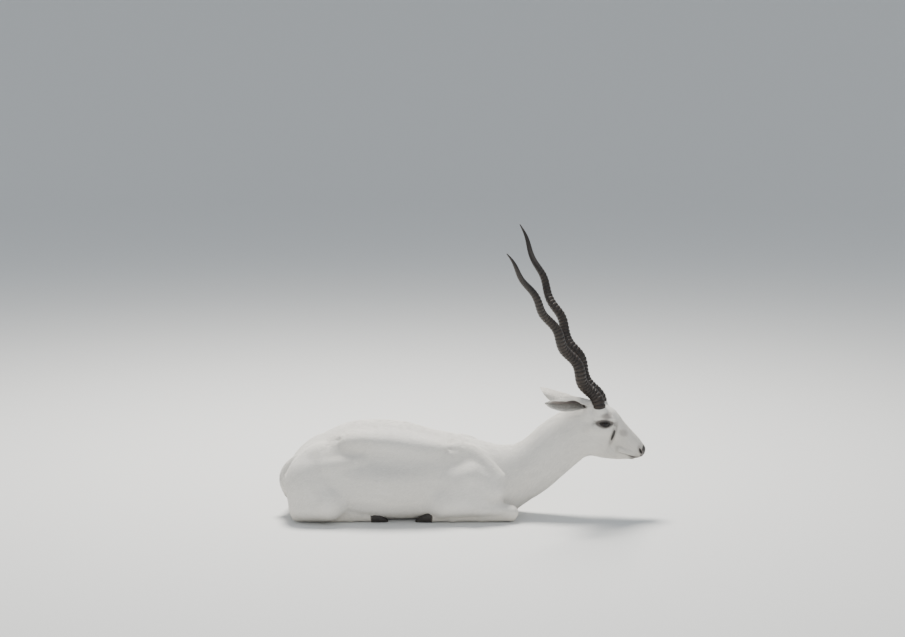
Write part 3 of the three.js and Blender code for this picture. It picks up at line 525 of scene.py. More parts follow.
def refine(vertices, quads, rims, chosen):
    """Splits the chosen quads in four. A neighbour gains the corners that fall on its edges."""
    count = len(vertices)
    split = quads[chosen]
    keys = edge_keys(split, count)
    unique, inverse = np.unique(keys, return_inverse=True)
    middles = (vertices[unique // count] + vertices[unique % count]) / 2
    centres = vertices[split].mean(1)
    m = count + inverse.reshape(-1, 4)
    c = count + len(unique) + np.arange(len(split))
    q = split.T
    parts = [(q[0], m[:, 0], c, m[:, 3]), (m[:, 0], q[1], m[:, 1], c),
             (c, m[:, 1], q[2], m[:, 2]), (m[:, 3], c, m[:, 2], q[3])]
    kept = quads[~chosen]
    kept_keys = edge_keys(kept, count)
    found = np.isin(kept_keys, unique)
    touched = found.any(1)
    number = {int(k): count + i for i, k in enumerate(unique)}

    def with_middles(polygon):
        ring = []
        for i, a in enumerate(polygon):
            b = polygon[(i + 1) % len(polygon)]
            ring.append(int(a))
            extra = number.get(int(min(a, b)) * count + int(max(a, b)))
            if extra is not None:
                ring.append(extra)
        return ring

    rims = [with_middles(r) for r in rims] + [with_middles(r) for r in kept[touched]]
    plain = np.concatenate([kept[~touched], *(np.stack(part, 1) for part in parts)])
    return np.concatenate([vertices, middles, centres]), plain, rims


def relax(vertices, quads, rims, moving, normals):
    """Evens out the net: each vertex slides along the surface towards its neighbours' middle."""
    edges = [np.stack([quads, np.roll(quads, -1, axis=1)], -1).reshape(-1, 2)]
    for ring in rims:
        edges.append(np.stack([ring, np.roll(ring, -1)], -1))
    edges = np.concatenate(edges)
    both = np.concatenate([edges, edges[:, ::-1]])
    count = np.bincount(both[:, 0], minlength=len(vertices))
    middle = np.stack([
        np.bincount(both[:, 0], vertices[both[:, 1], k], minlength=len(vertices))
        for k in range(3)
    ], 1) / np.maximum(count, 1)[:, None]
    move = middle - vertices
    move -= normals * dots(move, normals)[:, None]
    move[~moving] = 0
    return vertices + move * 0.5


def eye_axes(side):
    """Outward, along the slit and up, in the head's frame."""
    out = unit([0.3, side, 0.16])
    level = np.array([1, 0, 0.42])  # the slit runs level while the muzzle points down
    along = unit(level - out * (level @ out))
    return out, along, np.cross(along, out) * side


LID_LENGTH, LID_UP, LID_DOWN = 17.5, 6.6, 6.2  # half the opening, in mm on the ball
LID_LEAN = 0.05
LID_THICK = 2.7
LID_CREASES = ((1, 5.6, 1.3, 0.9), (-1, 4.8, 1.4, 0.5))  # above or below, place, width, depth
LID_FADE = (3.5, 12.5)  # from the lid's edge, where its form passes into the face
LID_TUCK = 3.2  # how far the skin inside the opening lies behind the ball's surface


def almond(x, y, length, up, down):
    """Distance beyond the edge of an opening made of two arcs, negative inside it."""
    rise = (length * length + up * up) / (2 * up)
    fall = (length * length + down * down) / (2 * down)
    return np.maximum(np.hypot(x, y + rise - up) - rise, np.hypot(x, y - fall + down) - fall)


def lid_place(q, side):
    """Where head-frame points lie round the eye: tilt from its axis, distance beyond the lid's
    edge, direction from its centre, distance from it, and place along and above the slit."""
    centre = np.array([EYE_AT[0], side * EYE_AT[1], EYE_AT[2]])
    out, along, up = eye_axes(side)
    v = q - centre
    reach = np.linalg.norm(v, axis=1)
    d = v / np.maximum(reach, 1e-6)[:, None]
    tilt = np.arccos(np.clip(d @ out, -1, 1))
    arc = tilt / np.maximum(np.sin(tilt), 1e-6) * EYE_RADIUS
    x, y = (d @ along) * arc, (d @ up) * arc
    edge = almond(x, y + LID_LEAN * x, LID_LENGTH, LID_UP, LID_DOWN)
    return tilt, edge, d, reach, x, y


SLITS = {
    "nostril": {"at": (194, 10), "half": (8.5, 3.2), "lean": -42, "depth": 6.0, "lip": 0.9},
    "gland": {"at": (95.5, 18), "half": (19, 4.0), "lean": -80, "depth": 4.0, "lip": 0.9},
}


def slit_place(q, side, slit):
    """How far points are from the middle of a slit, 1 on its edge."""
    lean = math.radians(slit["lean"])
    s, t = q[:, 0] - slit["at"][0], q[:, 2] - slit["at"][1]
    e = (s * math.cos(lean) + t * math.sin(lean)) / slit["half"][0]
    f = (t * math.cos(lean) - s * math.sin(lean)) / slit["half"][1]
    return np.where(q[:, 1] * side > 2, np.hypot(e, f), 9.0)


def slit_places(q):
    """Each slit on each side, with how far the points are from it."""
    return [(slit, slit_place(q, side, slit)) for side in (1, -1) for slit in SLITS.values()]


def lip_gap(q):
    """Height above the parting of the lips, and how much of the parting there is."""
    s = q[:, 0]
    return q[:, 2] - mouth_line(s), smooth(s, MOUTH_CORNER - 6, MOUTH_CORNER + 22)


def face_relief(q):
    """Folds and openings of the face: how far the skin moves out, in mm."""
    gap, open_ = lip_gap(q)
    front_lips = smooth(q[:, 0], 140, 185)
    move = -(1.5 + 1.3 * front_lips) * open_ * hump(gap, 0, 1.2)
    move += 0.7 * open_ * (hump(gap, 4, 2.2) + hump(gap, -4, 2.2))
    move -= 0.6 * hump(q[:, 0], MOUTH_CORNER - 4, 7) * hump(gap, -2, 9)
    front = smooth(q[:, 0], 192, 202)
    move -= 1.2 * front * hump(q[:, 1], 0, 1.3) * smooth(q[:, 2], -14, -4)  # groove of the nose
    for slit, far in slit_places(q):
        move -= slit["depth"] * (1 - smooth(far, 0.35, 1.1))
        move += slit["lip"] * hump(far, 1.45, 0.4)
    return move


def shape_lids(vertices):
    """Lays the skin round each eye on the ball and opens the lids over it."""
    q = to_head(vertices)
    for side in (1, -1):
        tilt, edge, d, reach, x, y = lid_place(q, side)
        close = (reach < 42) & (tilt < 2.0)
        thick = 0.55 * smooth(edge, -0.2, 4.0) + 0.45 * smooth(edge, -0.1, 1.1)
        lid = EYE_RADIUS + LID_THICK * thick
        for way, place, width, depth in LID_CREASES:
            lid -= depth * hump(edge, place, width) * smooth(way * y, 1, 7)
        inside = EYE_RADIUS - LID_TUCK
        lid = inside + (lid - inside) * smooth(edge, -1.0, 0.25)
        weight = (1 - smooth(edge, *LID_FADE)) * close
        centre = q - d * reach[:, None]
        reach = reach + (lid - reach) * weight
        reach = np.where(close & (edge > 0), np.maximum(reach, EYE_RADIUS + 1.3), reach)
        q = centre + d * reach[:, None]
    return from_head(q)


BASE_CELL = 4.6
LEVELS = ("head", "face", "features")


def level_area(centres, name):
    """Which places of the skin are made finer at each level."""
    q = to_head(centres)
    on_head = (centres[:, 0] > 330) & (q[:, 0] > -30) & (centres[:, 2] > 120)
    if name == "head":
        return on_head
    if name == "face":
        return on_head & (q[:, 0] > 22)
    wanted = np.zeros(len(centres), bool)
    for side in (1, -1):
        tilt, edge, _, reach, _, _ = lid_place(q, side)
        wanted |= (reach < 36) & (edge < 9) & (edge > -5) & (tilt < 1.9)
    for _, far in slit_places(q):
        wanted |= far < 1.9
    gap, open_ = lip_gap(q)
    wanted |= (np.abs(gap) < 3.5) & (open_ > 0)
    wanted |= q[:, 0] > 190
    return wanted & on_head & (q[:, 0] > 26)


def build_skin_net():
    vertices, quads = surface_net(flesh, (-600, -232, -14), (600, 232, 400), BASE_CELL)
    rims = []
    vertices, normals = settle(vertices)
    everywhere = np.ones(len(vertices), bool)
    for _ in range(2):
        vertices = relax(vertices, quads, rims, everywhere, normals)
    vertices, normals = settle(vertices)
    for name in LEVELS:
        chosen = level_area(vertices[quads].mean(1), name)
        vertices, quads, rims = refine(vertices, quads, rims, chosen)
        moving = np.zeros(len(vertices), bool)
        moving[np.unique(quads[level_area(vertices[quads].mean(1), name)])] = True
        for _ in range(2):
            local, own = settle(vertices[moving])
            normals = np.zeros_like(vertices)
            normals[moving] = own
            vertices[moving] = local
            vertices = relax(vertices, quads, rims, moving, normals)
    vertices, normals = settle(vertices)
    relief = face_relief(to_head(vertices))
    relief[vertices[:, 0] < FACE_FROM] = 0
    vertices = shape_lids(vertices + normals * relief[:, None])
    return vertices, quads, rims, normals


# Lie of the hair and the lengths along and across it

SPINE_SOFT = 26

SPINE = spline(
    np.arange(15),
    [(-560, 0, 112), (-480, 0, 118), (-300, 0, 128), (-100, 0, 128), (60, 0, 127), (130, 0, 131),
     (200, 0, 150), (256, -2, 190), (304, -3, 232), (344, -4, 262),
     *(from_head([s, 0, t]) for s, t in ((20, 0), (60, 4), (100, -2), (160, -6), (213, 2)))],
)


def spine_place(p):
    """Length along the spine, the way it runs there, and the offset from it."""
    line = SPINE(np.linspace(0, 14, 141))
    steps = np.linalg.norm(np.diff(line, axis=0), axis=1)
    length = np.concatenate([[0], np.cumsum(steps)])
    ways = unit(np.gradient(line, axis=0))
    place = np.empty((len(p), 7))
    for start in range(0, len(p), 20000):
        chunk = p[start:start + 20000]
        far = ((chunk[:, None, ::2] - line[None, :, ::2]) ** 2).sum(-1)
        weight = np.exp((far.min(1, keepdims=True) - far) / (2 * SPINE_SOFT ** 2))
        weight /= weight.sum(1, keepdims=True)
        place[start:start + 20000] = weight @ np.column_stack([length, ways, line])
    way = unit(place[:, 1:4])
    off = p - place[:, 4:]
    return place[:, 0] + dots(off, way), way, off


def hair(p, normals):
    """The way that the hair lies at each place, coordinates in mm along and across it, which part
    each place is on, and how far it is from the seam between two parts, from 0 to 1."""
    depths = part_depths(p)
    label = depths.argmin(0)
    nearest = np.partition(depths, 1, axis=0)
    calm = smooth(nearest[1] - nearest[0], 1.5, 9)
    along, way, off = spine_place(p)
    down = np.zeros_like(p)
    down[:, 2] = -0.55 * (1 - smooth(p[:, 0], 330, 380))
    lie = -way + down * np.abs(normals[:, 1:2])
    grain = np.stack([along, off[:, 1], off[:, 2] + 0.3 * along], 1)
    share = smooth(nearest[1] - nearest[0], 0, 14) * 0.5 + 0.5
    for i, (_, direction, _) in enumerate(PARTS):
        if direction is None:
            continue
        mine = label == i
        axis = unit(direction)
        lie[mine] = unit(lie[mine]) * (1 - share[mine, None]) + axis * share[mine, None]
        grain[mine] = np.stack([p[mine] @ axis, p[mine, 1], p[mine, 2]], 1)
    body = label == 0
    for i in range(1, len(PARTS)):
        near = body & (depths[i] - depths[0] < 14) & (i != len(PARTS) - 1)
        pull = 1 - share[near, None]
        lie[near] = unit(lie[near]) * (1 - pull) + unit(PARTS[i][1]) * pull
    q = to_head(p)
    horn_way = np.array([math.cos(HORN_BACK), 0, math.sin(HORN_BACK)])
    for side in (1, -1):
        from_base = q - np.array([HORN_BASE[0], side * HORN_BASE[1], HORN_BASE[2]])
        aside = from_base - dots(from_base, horn_way)[:, None] * horn_way
        close = (1 - smooth(np.linalg.norm(aside, axis=1), 20, 34)) * (p[:, 0] > 330) * body
        lie = lie * (1 - close)[:, None] + turn_from_head(horn_way) * close[:, None]
    swirl = np.sin(p[:, 0] / 37 + p[:, 2] / 29) * np.cos(p[:, 1] / 33 - p[:, 2] / 41)
    sideways = np.cross(normals, lie)
    lie = lie + sideways * (0.16 * swirl)[:, None]
    lie = lie - normals * dots(lie, normals)[:, None]
    return unit(lie), grain, label, calm


# Markings, with painted shade on the side of the nose: the same for the skin and the coat on it

WHITE = np.array([0.80, 0.775, 0.73])
CREAM = np.array([0.77, 0.71, 0.61])
FACE_GREY = np.array([0.52, 0.475, 0.42])
SKIN_AND_SHADE_GREY = np.array([0.10, 0.085, 0.078])
LIP_DARK = np.array([0.045, 0.038, 0.036])
NEAR_BLACK = np.array([0.018, 0.015, 0.014])
SOIL = np.array([0.36, 0.29, 0.20])
HEAD_FADE = (345, 385)  # where the neck's coat passes into the head's
BROW_PATCH = (3, 25, 25, 13)  # middle and half axes of the grey over the eye, in mm
AHEAD_PAINTED_SHADE = (121, 36, 18, 13)  # the same for the painted shade on the side of the nose
EYE_WEDGE = (28, 12, 12)  # half length, rise and fall of the dark skin round the lids


def oval(x, y, patch):
    return np.hypot((x - patch[0]) / patch[2], (y - patch[1]) / patch[3])


def blended(colour, other, share):
    return colour + (other - colour) * np.clip(share, 0, 1)[:, None]


def head_share(p, label):
    """1 on the head, 0 on the rest, and an even change across the throat."""
    return smooth(p[:, 0], *HEAD_FADE) * (label == 0)


def markings_and_painted_shade(p, label):
    """Colour, and how bare the skin is, from 0 in the coat to 1 on the nose."""
    q = to_head(p)
    s, l, t = q.T
    on_head = head_share(p, label)
    cloud = np.sin(p[:, 0] / 61 + 1.3) * np.sin(p[:, 1] / 47 + 0.4) * np.sin(p[:, 2] / 53)
    colour = blended(np.tile(WHITE, (len(p), 1)), CREAM, 0.16 + 0.14 * cloud)
    colour = blended(colour, SOIL, 0.24 * smooth(-p[:, 2], -46, -8))
    colour = blended(colour, CREAM, 0.4 * np.isin(label, [2, 4, 6, 8]))
    colour = blended(colour, FACE_GREY, 0.40 * on_head * smooth(s, 50, 125))
    colour = blended(colour, FACE_GREY * 0.6, 0.5 * on_head * smooth(s, 176, 202))
    gap, open_ = lip_gap(q)
    front = smooth(s, 158, 182)
    lips = on_head * open_ * hump(gap, -0.6, 1.4 + 2.0 * front) * (0.25 + 0.75 * front)
    colour = blended(colour, LIP_DARK, 0.95 * lips)
    chin = on_head * smooth(s, 168, 182) * smooth(-gap, -1, 4) * (1 - smooth(-gap, 12, 22))
    colour = blended(colour, LIP_DARK * 1.6, 0.6 * chin)
    pad = on_head * smooth(s + 0.22 * (t - 4), 196, 201) * smooth(t, -10, -5)
    colour = blended(colour, LIP_DARK * 0.6, 0.95 * pad)
    bare = np.maximum(pad, lips * 0.9)
    for side in (1, -1):
        _, edge, d, reach, _, _ = lid_place(q, side)
        _, along, up = eye_axes(side)
        x, y = (d @ along) * reach, (d @ up) * reach
        near = on_head * (1 - smooth(reach, 36, 50)) * (l * side > 0)
        brow = 1 - smooth(oval(x, y, BROW_PATCH), 0.35, 1.1)
        colour = blended(colour, SKIN_AND_SHADE_GREY * 2.0, 0.75 * near * brow)
        wedge = 1 - smooth(almond(x + 2, y, *EYE_WEDGE), -1.0, 6)
        colour = blended(colour, SKIN_AND_SHADE_GREY * 1.1, 0.9 * near * wedge)
        rim = near * (1 - smooth(edge, 1.8, 4.2))
        colour = blended(colour, NEAR_BLACK, 0.95 * rim)
        bare = np.maximum(bare, rim)
    for _, far in slit_places(q):
        colour = blended(colour, SKIN_AND_SHADE_GREY * 2.2, 0.5 * on_head * hump(far, 1.5, 0.6))
        dark = on_head * (1 - smooth(far, 0.9, 1.35))
        colour = blended(colour, NEAR_BLACK, 0.93 * dark)
        bare = np.maximum(bare, dark)
    # painted shade: a darker grey patch on the side of the nose, in front of the eye
    ahead = 1 - smooth(oval(s, t, AHEAD_PAINTED_SHADE), 0.4, 1.1)
    return blended(colour, SKIN_AND_SHADE_GREY * 2.6, 0.45 * on_head * ahead), bare


# Materials


class Look:
    """A material round one shader, with the nodes that feed it."""

    def __init__(self, name, **sockets):
        self.material = bpy.data.materials.new(name)
        self.material.use_nodes = True
        self.tree = self.material.node_tree
        self.shader = self.tree.nodes["Principled BSDF"]
        self.feed(self.shader, {key.replace("_", " "): sockets[key] for key in sockets})

    def feed(self, node, inputs):
        """Sets a node's inputs, or links those that are given as another node's output."""
        for key, value in inputs.items():
            if isinstance(value, bpy.types.NodeSocket):
                self.tree.links.new(value, node.inputs[key])
            else:
                node.inputs[key].default_value = value

    def add(self, kind, output, inputs, **settings):
        node = self.tree.nodes.new("ShaderNode" + kind)
        for key, value in settings.items():
            setattr(node, key, value)
        self.feed(node, inputs)
        return node.outputs[output]

    def attribute(self, name, output):
        return self.add("Attribute", output, {}, attribute_name=name)

    def noise(self, factors, detail):
        """Noise on the grain, with each part of the grain scaled."""
        place = self.add("VectorMath", "Vector", {0: self.attribute("grain", "Vector"), 1: factors},
                         operation="MULTIPLY")
        return self.add("TexNoise", "Fac", {"Vector": place, "Scale": 1.0, "Detail": detail})

    def ranged(self, value, to_low, to_high, low=0.3, high=0.7):
        return self.add("MapRange", "Result", {"Value": value, "From Min": low, "From Max": high,
                                               "To Min": to_low, "To Max": to_high})

    def scaled(self, colour, factor):
        return self.add("VectorMath", "Vector", {0: colour, "Scale": factor}, operation="SCALE")

    def calmed(self, value, calm):
        """A factor round 1 that goes back to 1 where the coat's grain has a seam."""
        less = self.add("Math", 0, {0: value, 1: 1.0}, operation="SUBTRACT")
        return self.add("Math", 0, {0: less, 1: calm, 2: 1.0}, operation="MULTIPLY_ADD")

    def bump(self, height, distance, strength):
        relief = {"Height": height, "Distance": distance, "Strength": strength}
        self.feed(self.shader, {"Normal": self.add("Bump", "Normal", relief)})


def coat_material():
    look = Look("coat", Roughness=0.8, Sheen_Weight=0.12, Sheen_Roughness=0.5,
                Specular_IOR_Level=0.3)
    calm = look.attribute("calm", "Fac")
    strands = look.noise((0.03, 0.75, 0.75), 4.0)
    locks = look.noise((0.012, 0.11, 0.11), 2.0)
    fine = look.calmed(look.ranged(strands, 0.93, 1.05), calm)
    broad = look.calmed(look.ranged(locks, 0.95, 1.03), calm)
    colour = look.scaled(look.scaled(look.attribute("tone", "Color"), fine), broad)
    rough = look.ranged(look.attribute("bare", "Fac"), 0.82, 0.42, 0, 1)
    look.feed(look.shader, {"Base Color": colour, "Roughness": rough})
    look.bump(look.calmed(strands, calm), 0.0007, 0.7)
    return look.material


def streaked(look, factors, detail, dark, patches=None, rough=None):
    """Streaks of tone over a look. Where they change its gloss too, they stand out a little."""
    streaks = look.noise(factors, detail)
    colour = look.scaled(look.attribute("tone", "Color"), look.ranged(streaks, dark, 1.5))
    if patches:
        colour = look.scaled(colour, look.ranged(look.noise(patches, 2.0), 0.7, 1.3))
    look.feed(look.shader, {"Base Color": colour})
    if rough:
        look.feed(look.shader, {"Roughness": look.ranged(streaks, *rough)})
        look.bump(streaks, 0.0006, 0.6)
    return look.material


COAT_LOOK = coat_material()
HORN_LOOK = streaked(Look("horn", Roughness=0.42, Specular_IOR_Level=0.45),
                     (1.4, 0.05, 1.4), 4.0, 0.6, (0.06, 0.03, 0.06), (0.36, 0.58))
HOOF_LOOK = streaked(Look("hoof", Roughness=0.5, Specular_IOR_Level=0.45),
                     (0.05, 0.9, 0.05), 3.0, 0.6, rough=(0.42, 0.62))
EYE_LOOK = streaked(Look("eye", Roughness=0.12, Coat_Weight=0.12, Coat_Roughness=0.03,
                         Specular_IOR_Level=0.22), (7.0, 0.35, 0.0), 3.0, 0.55)

# Pieces


ATTRIBUTES = {1: ("FLOAT", "value"), 3: ("FLOAT_VECTOR", "vector"), 4: ("FLOAT_COLOR", "color")}


def new_piece(name, vertices, polygons, look, slot, nodes=(), **attributes):
    """A smooth mesh piece, in mm, that rides on the still body."""
    rings = [ring for group in polygons for ring in group]
    corners = np.concatenate(rings)
    starts = np.concatenate([[0], np.cumsum([len(ring) for ring in rings])[:-1]])
    mesh = bpy.data.meshes.new(name)
    mesh.vertices.add(len(vertices))
    mesh.vertices.foreach_set("co", (vertices * MM).astype(np.float32).ravel())
    mesh.loops.add(len(corners))
    mesh.loops.foreach_set("vertex_index", corners.astype(np.int32))
    mesh.polygons.add(len(starts))
    mesh.polygons.foreach_set("loop_start", starts.astype(np.int32))
    mesh.polygons.foreach_set("use_smooth", np.ones(len(starts), bool))
    mesh.update(calc_edges=True)
    mesh.validate()
    for key, values in attributes.items():
        values = np.asarray(values, np.float32).reshape(len(vertices), -1)
        if key == "tone":
            values = np.concatenate([values, np.ones((len(values), 1), np.float32)], 1)
        kind, part = ATTRIBUTES[values.shape[1]]
        mesh.attributes.new(key, kind, "POINT").data.foreach_set(part, values.ravel())
    mesh.materials.append(look)
    piece = bpy.data.objects.new(name, mesh)
    bpy.context.scene.collection.objects.link(piece)
    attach(piece, "root")
    if nodes:
        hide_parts(*nodes)
    return piece


def grid_quads(rows, around):
    grid = np.arange(rows * around).reshape(rows, around)
    grid = np.concatenate([grid, grid[:, :1]], 1)
    quads = np.stack([grid[:-1, :-1], grid[:-1, 1:], grid[1:, 1:], grid[1:, :-1]], -1)
    return quads.reshape(-1, 4)


def fan(middle, first, around, turned=False):
    """Triangles from one corner to a ring of corners, whose numbers start at first."""
    ring = first + np.arange(around)
    after = np.roll(ring, -1)
    return np.stack([np.full(around, middle), *((after, ring) if turned else (ring, after))], 1)


def tube_faces(rows, around, turned=False):
    """Quads between a tube's rings, and fans that close its ends on the two last corners."""
    quads, count = grid_quads(rows, around), rows * around
    return [quads[:, ::-1] if turned else quads, fan(count, 0, around, not turned),
            fan(count + 1, count - around, around, turned)]


SIDES = (("left", 1), ("right", -1))
FLESH_NODES = ["torso", "neck", "head", "tail"]
FLESH_NODES += [
    f"{part}_{name}"
    for part in ("shoulder", "thigh", "forearm", "cannon_fore", "pastern_fore", "shank",
                 "cannon_hind", "pastern_hind")
    for name, _ in SIDES
]

skin_vertices, skin_quads, skin_rims, skin_normals = build_skin_net()
lie, grain, label, calm = hair(skin_vertices, skin_normals)
tone, bare = markings_and_painted_shade(skin_vertices, label)
new_piece("skin", skin_vertices, [skin_quads, skin_rims], COAT_LOOK, "coat", FLESH_NODES,
          tone=tone, grain=grain, bare=bare, calm=calm)

# Eyeballs


def eyeball(name, side):
    out, along, up = (turn_from_head(a) for a in eye_axes(side))
    centre = from_head([EYE_AT[0], side * EYE_AT[1], EYE_AT[2]])
    tilt = np.linspace(0, math.pi, 33)[1:-1]
    turn = np.linspace(0, 2 * math.pi, 65)[:-1]
    tilt_grid, turn_grid = np.meshgrid(tilt, turn, indexing="ij")
    bulge = 1 + 0.05 * hump(tilt_grid, 0, 0.55)  # the cornea
    ring = np.sin(tilt_grid)[..., None] * (
        np.cos(turn_grid)[..., None] * along + np.sin(turn_grid)[..., None] * up)
    points = centre + EYE_RADIUS * bulge[..., None] * (np.cos(tilt_grid)[..., None] * out + ring)
    poles = [centre + EYE_RADIUS * 1.05 * out, centre - EYE_RADIUS * out]
    vertices = np.concatenate([points.reshape(-1, 3), poles])
    faces = tube_faces(len(tilt), len(turn), side < 0)
    faces[0] = np.roll(faces[0], 1, axis=1)  # both balls split along the same diagonals
    tilts = np.concatenate([tilt_grid.ravel(), [0, math.pi]])
    turns = np.concatenate([turn_grid.ravel(), [0, 0]])
    x, y = np.cos(turns) * tilts, np.sin(turns) * tilts
    pupil = 1 - smooth(np.hypot(x / 0.5, y / 0.26), 0.9, 1.05)
    white = smooth(tilts, 0.86, 0.98)
    iris = np.tile([0.014, 0.0075, 0.0045], (len(vertices), 1))
    colour = blended(iris, (0.007, 0.005, 0.004), smooth(tilts, 0.62, 0.85))
    colour = blended(colour, (0.05, 0.035, 0.028), 0.7 * white)
    colour = blended(colour, (0.003, 0.003, 0.004), pupil)
    new_piece(name, vertices, faces, EYE_LOOK, "eye", [name], tone=colour,
              grain=np.stack([turns, tilts * 10, turns * 0], 1))


for side_name, side_sign in SIDES:
    eyeball(f"eye_{side_name}", side_sign)

# Horns

horn_radius = spline([0, 0.1, 0.35, 0.55, 0.75, 0.9, 1], [18.4, 17.8, 15.2, 13, 10.4, 6.8, 1.4])
HORN_RINGS = 44
RINGED = (-0.004, 0.8)
RING_HEIGHT = 1.9
HORN_SUNK = 0.016  # share of the length that starts below the skin
HORN_TURN_FROM = 22  # mm along the axis where the spiral's first turn starts
HORN_SWAY = (8.5, 3.0)  # the spiral's radius at the base and at the tip


def horn_centre(t, side):
    forward_of = np.array([math.sin(HORN_BACK), 0, -math.cos(HORN_BACK)])
    along = np.array([math.cos(HORN_BACK), 0, math.sin(HORN_BACK)])
    spread = (HORN_TIP_OUT - HORN_BASE[1]) * np.maximum(t, 0) ** 1.6
    turn = 2 * math.pi * (t * HORN_LENGTH - HORN_TURN_FROM) / HORN_PITCH
    sway = HORN_SWAY[0] + (HORN_SWAY[1] - HORN_SWAY[0]) * t
    base = np.stack([
        np.full_like(t, HORN_BASE[0]),
        side * (HORN_BASE[1] + spread - sway * np.sin(turn)),
        np.full_like(t, HORN_BASE[2]),
    ], -1)
    local = base + along * (t * HORN_LENGTH)[:, None] + forward_of * (sway * np.cos(turn))[:, None]
    return from_head(local)


def horn(name, side):
    rng = np.random.default_rng(SEED + (side > 0))
    start, stop = RINGED
    step = (stop - start) / HORN_RINGS
    t = np.concatenate([np.linspace(-HORN_SUNK, start, 8)[:-1],
                        np.linspace(start, stop, HORN_RINGS * 12 + 1)[:-1],
                        np.linspace(stop, 0.997, 60)])
    number = np.clip((t - start) / step, 0, HORN_RINGS - 1e-6)
    ring_index = number.astype(int)
    height = RING_HEIGHT * (0.8 + 0.4 * rng.random(HORN_RINGS))
    ringed = smooth(t, start - 0.01, start + 0.01) * (1 - smooth(t, stop - 0.10, stop + 0.01))
    crest = np.sin(np.pi * (number - ring_index) ** 1.35) ** 0.8
    around = 48
    angle = np.linspace(0, 2 * math.pi, around + 1)[:-1]
    centre = horn_centre(t, side)
    tangent = unit(horn_centre(np.minimum(t + 0.003, 1), side) - horn_centre(t - 0.003, side))
    ahead = turn_from_head([math.sin(HORN_BACK), 0, -math.cos(HORN_BACK)])
    u = unit(ahead - tangent * (tangent @ ahead)[:, None])
    v = np.cross(tangent, u)
    wave = rng.normal(0, 1, (HORN_RINGS, 3))
    skew = wave[ring_index, 0][:, None] * np.cos(angle + wave[ring_index, 1][:, None]) * 0.10
    raise_ = ((crest - 0.28) * height[ring_index] * ringed * (1 - 0.55 * t))[:, None]
    raise_ = raise_ * (1 + 0.18 * np.cos(angle)[None] + skew)
    sunk = 1 - 0.35 * np.minimum(t / HORN_SUNK, 0) ** 2
    radius = (horn_radius(np.maximum(t, 0)) * sunk)[:, None] + raise_
    points = centre[:, None] + radius[..., None] * (
        np.cos(angle)[None, :, None] * u[:, None] + np.sin(angle)[None, :, None] * v[:, None])
    ends = horn_centre(np.array([-HORN_SUNK, 1.0]), side)
    vertices = np.concatenate([points.reshape(-1, 3), ends])
    shade = np.append(np.repeat(crest * ringed, around), [0, 0])
    tips = np.append(np.repeat(smooth(t, 0.7, 1.0), around), [0, 1])
    colour = np.tile([0.010, 0.0075, 0.0068], (len(vertices), 1))
    colour = blended(colour, (0.030, 0.019, 0.013), 0.75 * shade)
    colour = blended(colour, (0.024, 0.018, 0.014), tips)
    local = np.stack([
        (np.cos(angle)[None] * radius).ravel(),
        np.repeat(t * HORN_LENGTH, around),
        (np.sin(angle)[None] * radius).ravel(),
    ], 1)
    local = np.concatenate([local, [[0, 0, 0], [0, HORN_LENGTH, 0]]])
    new_piece(name, vertices, tube_faces(len(t), around), HORN_LOOK, "horn", [name], tone=colour,
              grain=local)


for side_name, side_sign in SIDES:
    horn(f"horn_{side_name}", side_sign)

# Ears: a leaf rolled into a funnel at the root, with ridges in the cup

EARS = {
    "right": {"root": (-14, -28, 70), "tip": (-120, -107, 33), "open": (0.643, -0.69, -0.33),
              "bow": 11},
    "left": {"root": (-14, 31, 46), "tip": (-148, 52, 12), "open": (0.267, 0.233, -0.935),
             "bow": 0},
}
EAR_SINK = 10  # how far the back of the leaf lies behind the ear's axis
ear_width = spline([0, 0.12, 0.35, 0.6, 0.82, 0.94, 1], [31, 37, EAR_HALF_WIDTH, 42, 28, 13, 2.5])
ear_roll = spline([0, 0.25, 0.5, 0.7, 1], [2.75, 2.35, 1.6, 1.65, 0.8])
ear_thick = spline([0, 0.3, 1], [4.5, 3, 1.6])
EAR_ROWS, EAR_ACROSS = 72, 48
# Inside of the ear: the bare skin's own grey with painted shade in it, and darker painted shade
# deep in the cup
INNER_SKIN_AND_SHADE = np.array([0.20, 0.165, 0.15])
INNER_PAINTED_SHADE = np.array([0.055, 0.045, 0.042])


def ear_frame(side_name):
    ear = EARS[side_name]
    start = from_head(ear["root"])
    axis = unit(from_head(ear["tip"]) - start)
    wanted = turn_from_head(ear["open"])
    mouth = unit(wanted - axis * (wanted @ axis))
    return start, axis, mouth, np.cross(axis, mouth)


def ear_point(side_name, t, w, offset):
    """A place on the leaf: t along it, w across from edge to edge, offset from its middle."""
    start, axis, mouth, across = ear_frame(side_name)
    t, w, offset = np.broadcast_arrays(t, w, offset)
    roll = ear_roll(t)
    radius = ear_width(t) / roll
    lift = unit(np.array([0, 0, 1.0]) - axis * axis[2])
    raise_ = EARS[side_name]["bow"] * np.sin(math.pi * t)
    ripple = 0.9 * np.sin(t * 17 + w * 3) * w * w * smooth(t, 0.15, 0.5) * (1 - smooth(t, 0.9, 1))
    angle = w * roll
    centre = start + axis * (t * EAR_LENGTH)[..., None] + mouth * (radius - EAR_SINK)[..., None]
    centre = centre + lift * raise_[..., None]
    out = radius + offset + ripple
    return centre + mouth * (-np.cos(angle) * out)[..., None] + across * (
        np.sin(angle) * out)[..., None]


def ear_half(t, w):
    """Half the leaf's thickness, thinner towards the edges."""
    return ear_thick(t) / 2 * (1.1 - 0.75 * np.abs(w) ** 3)


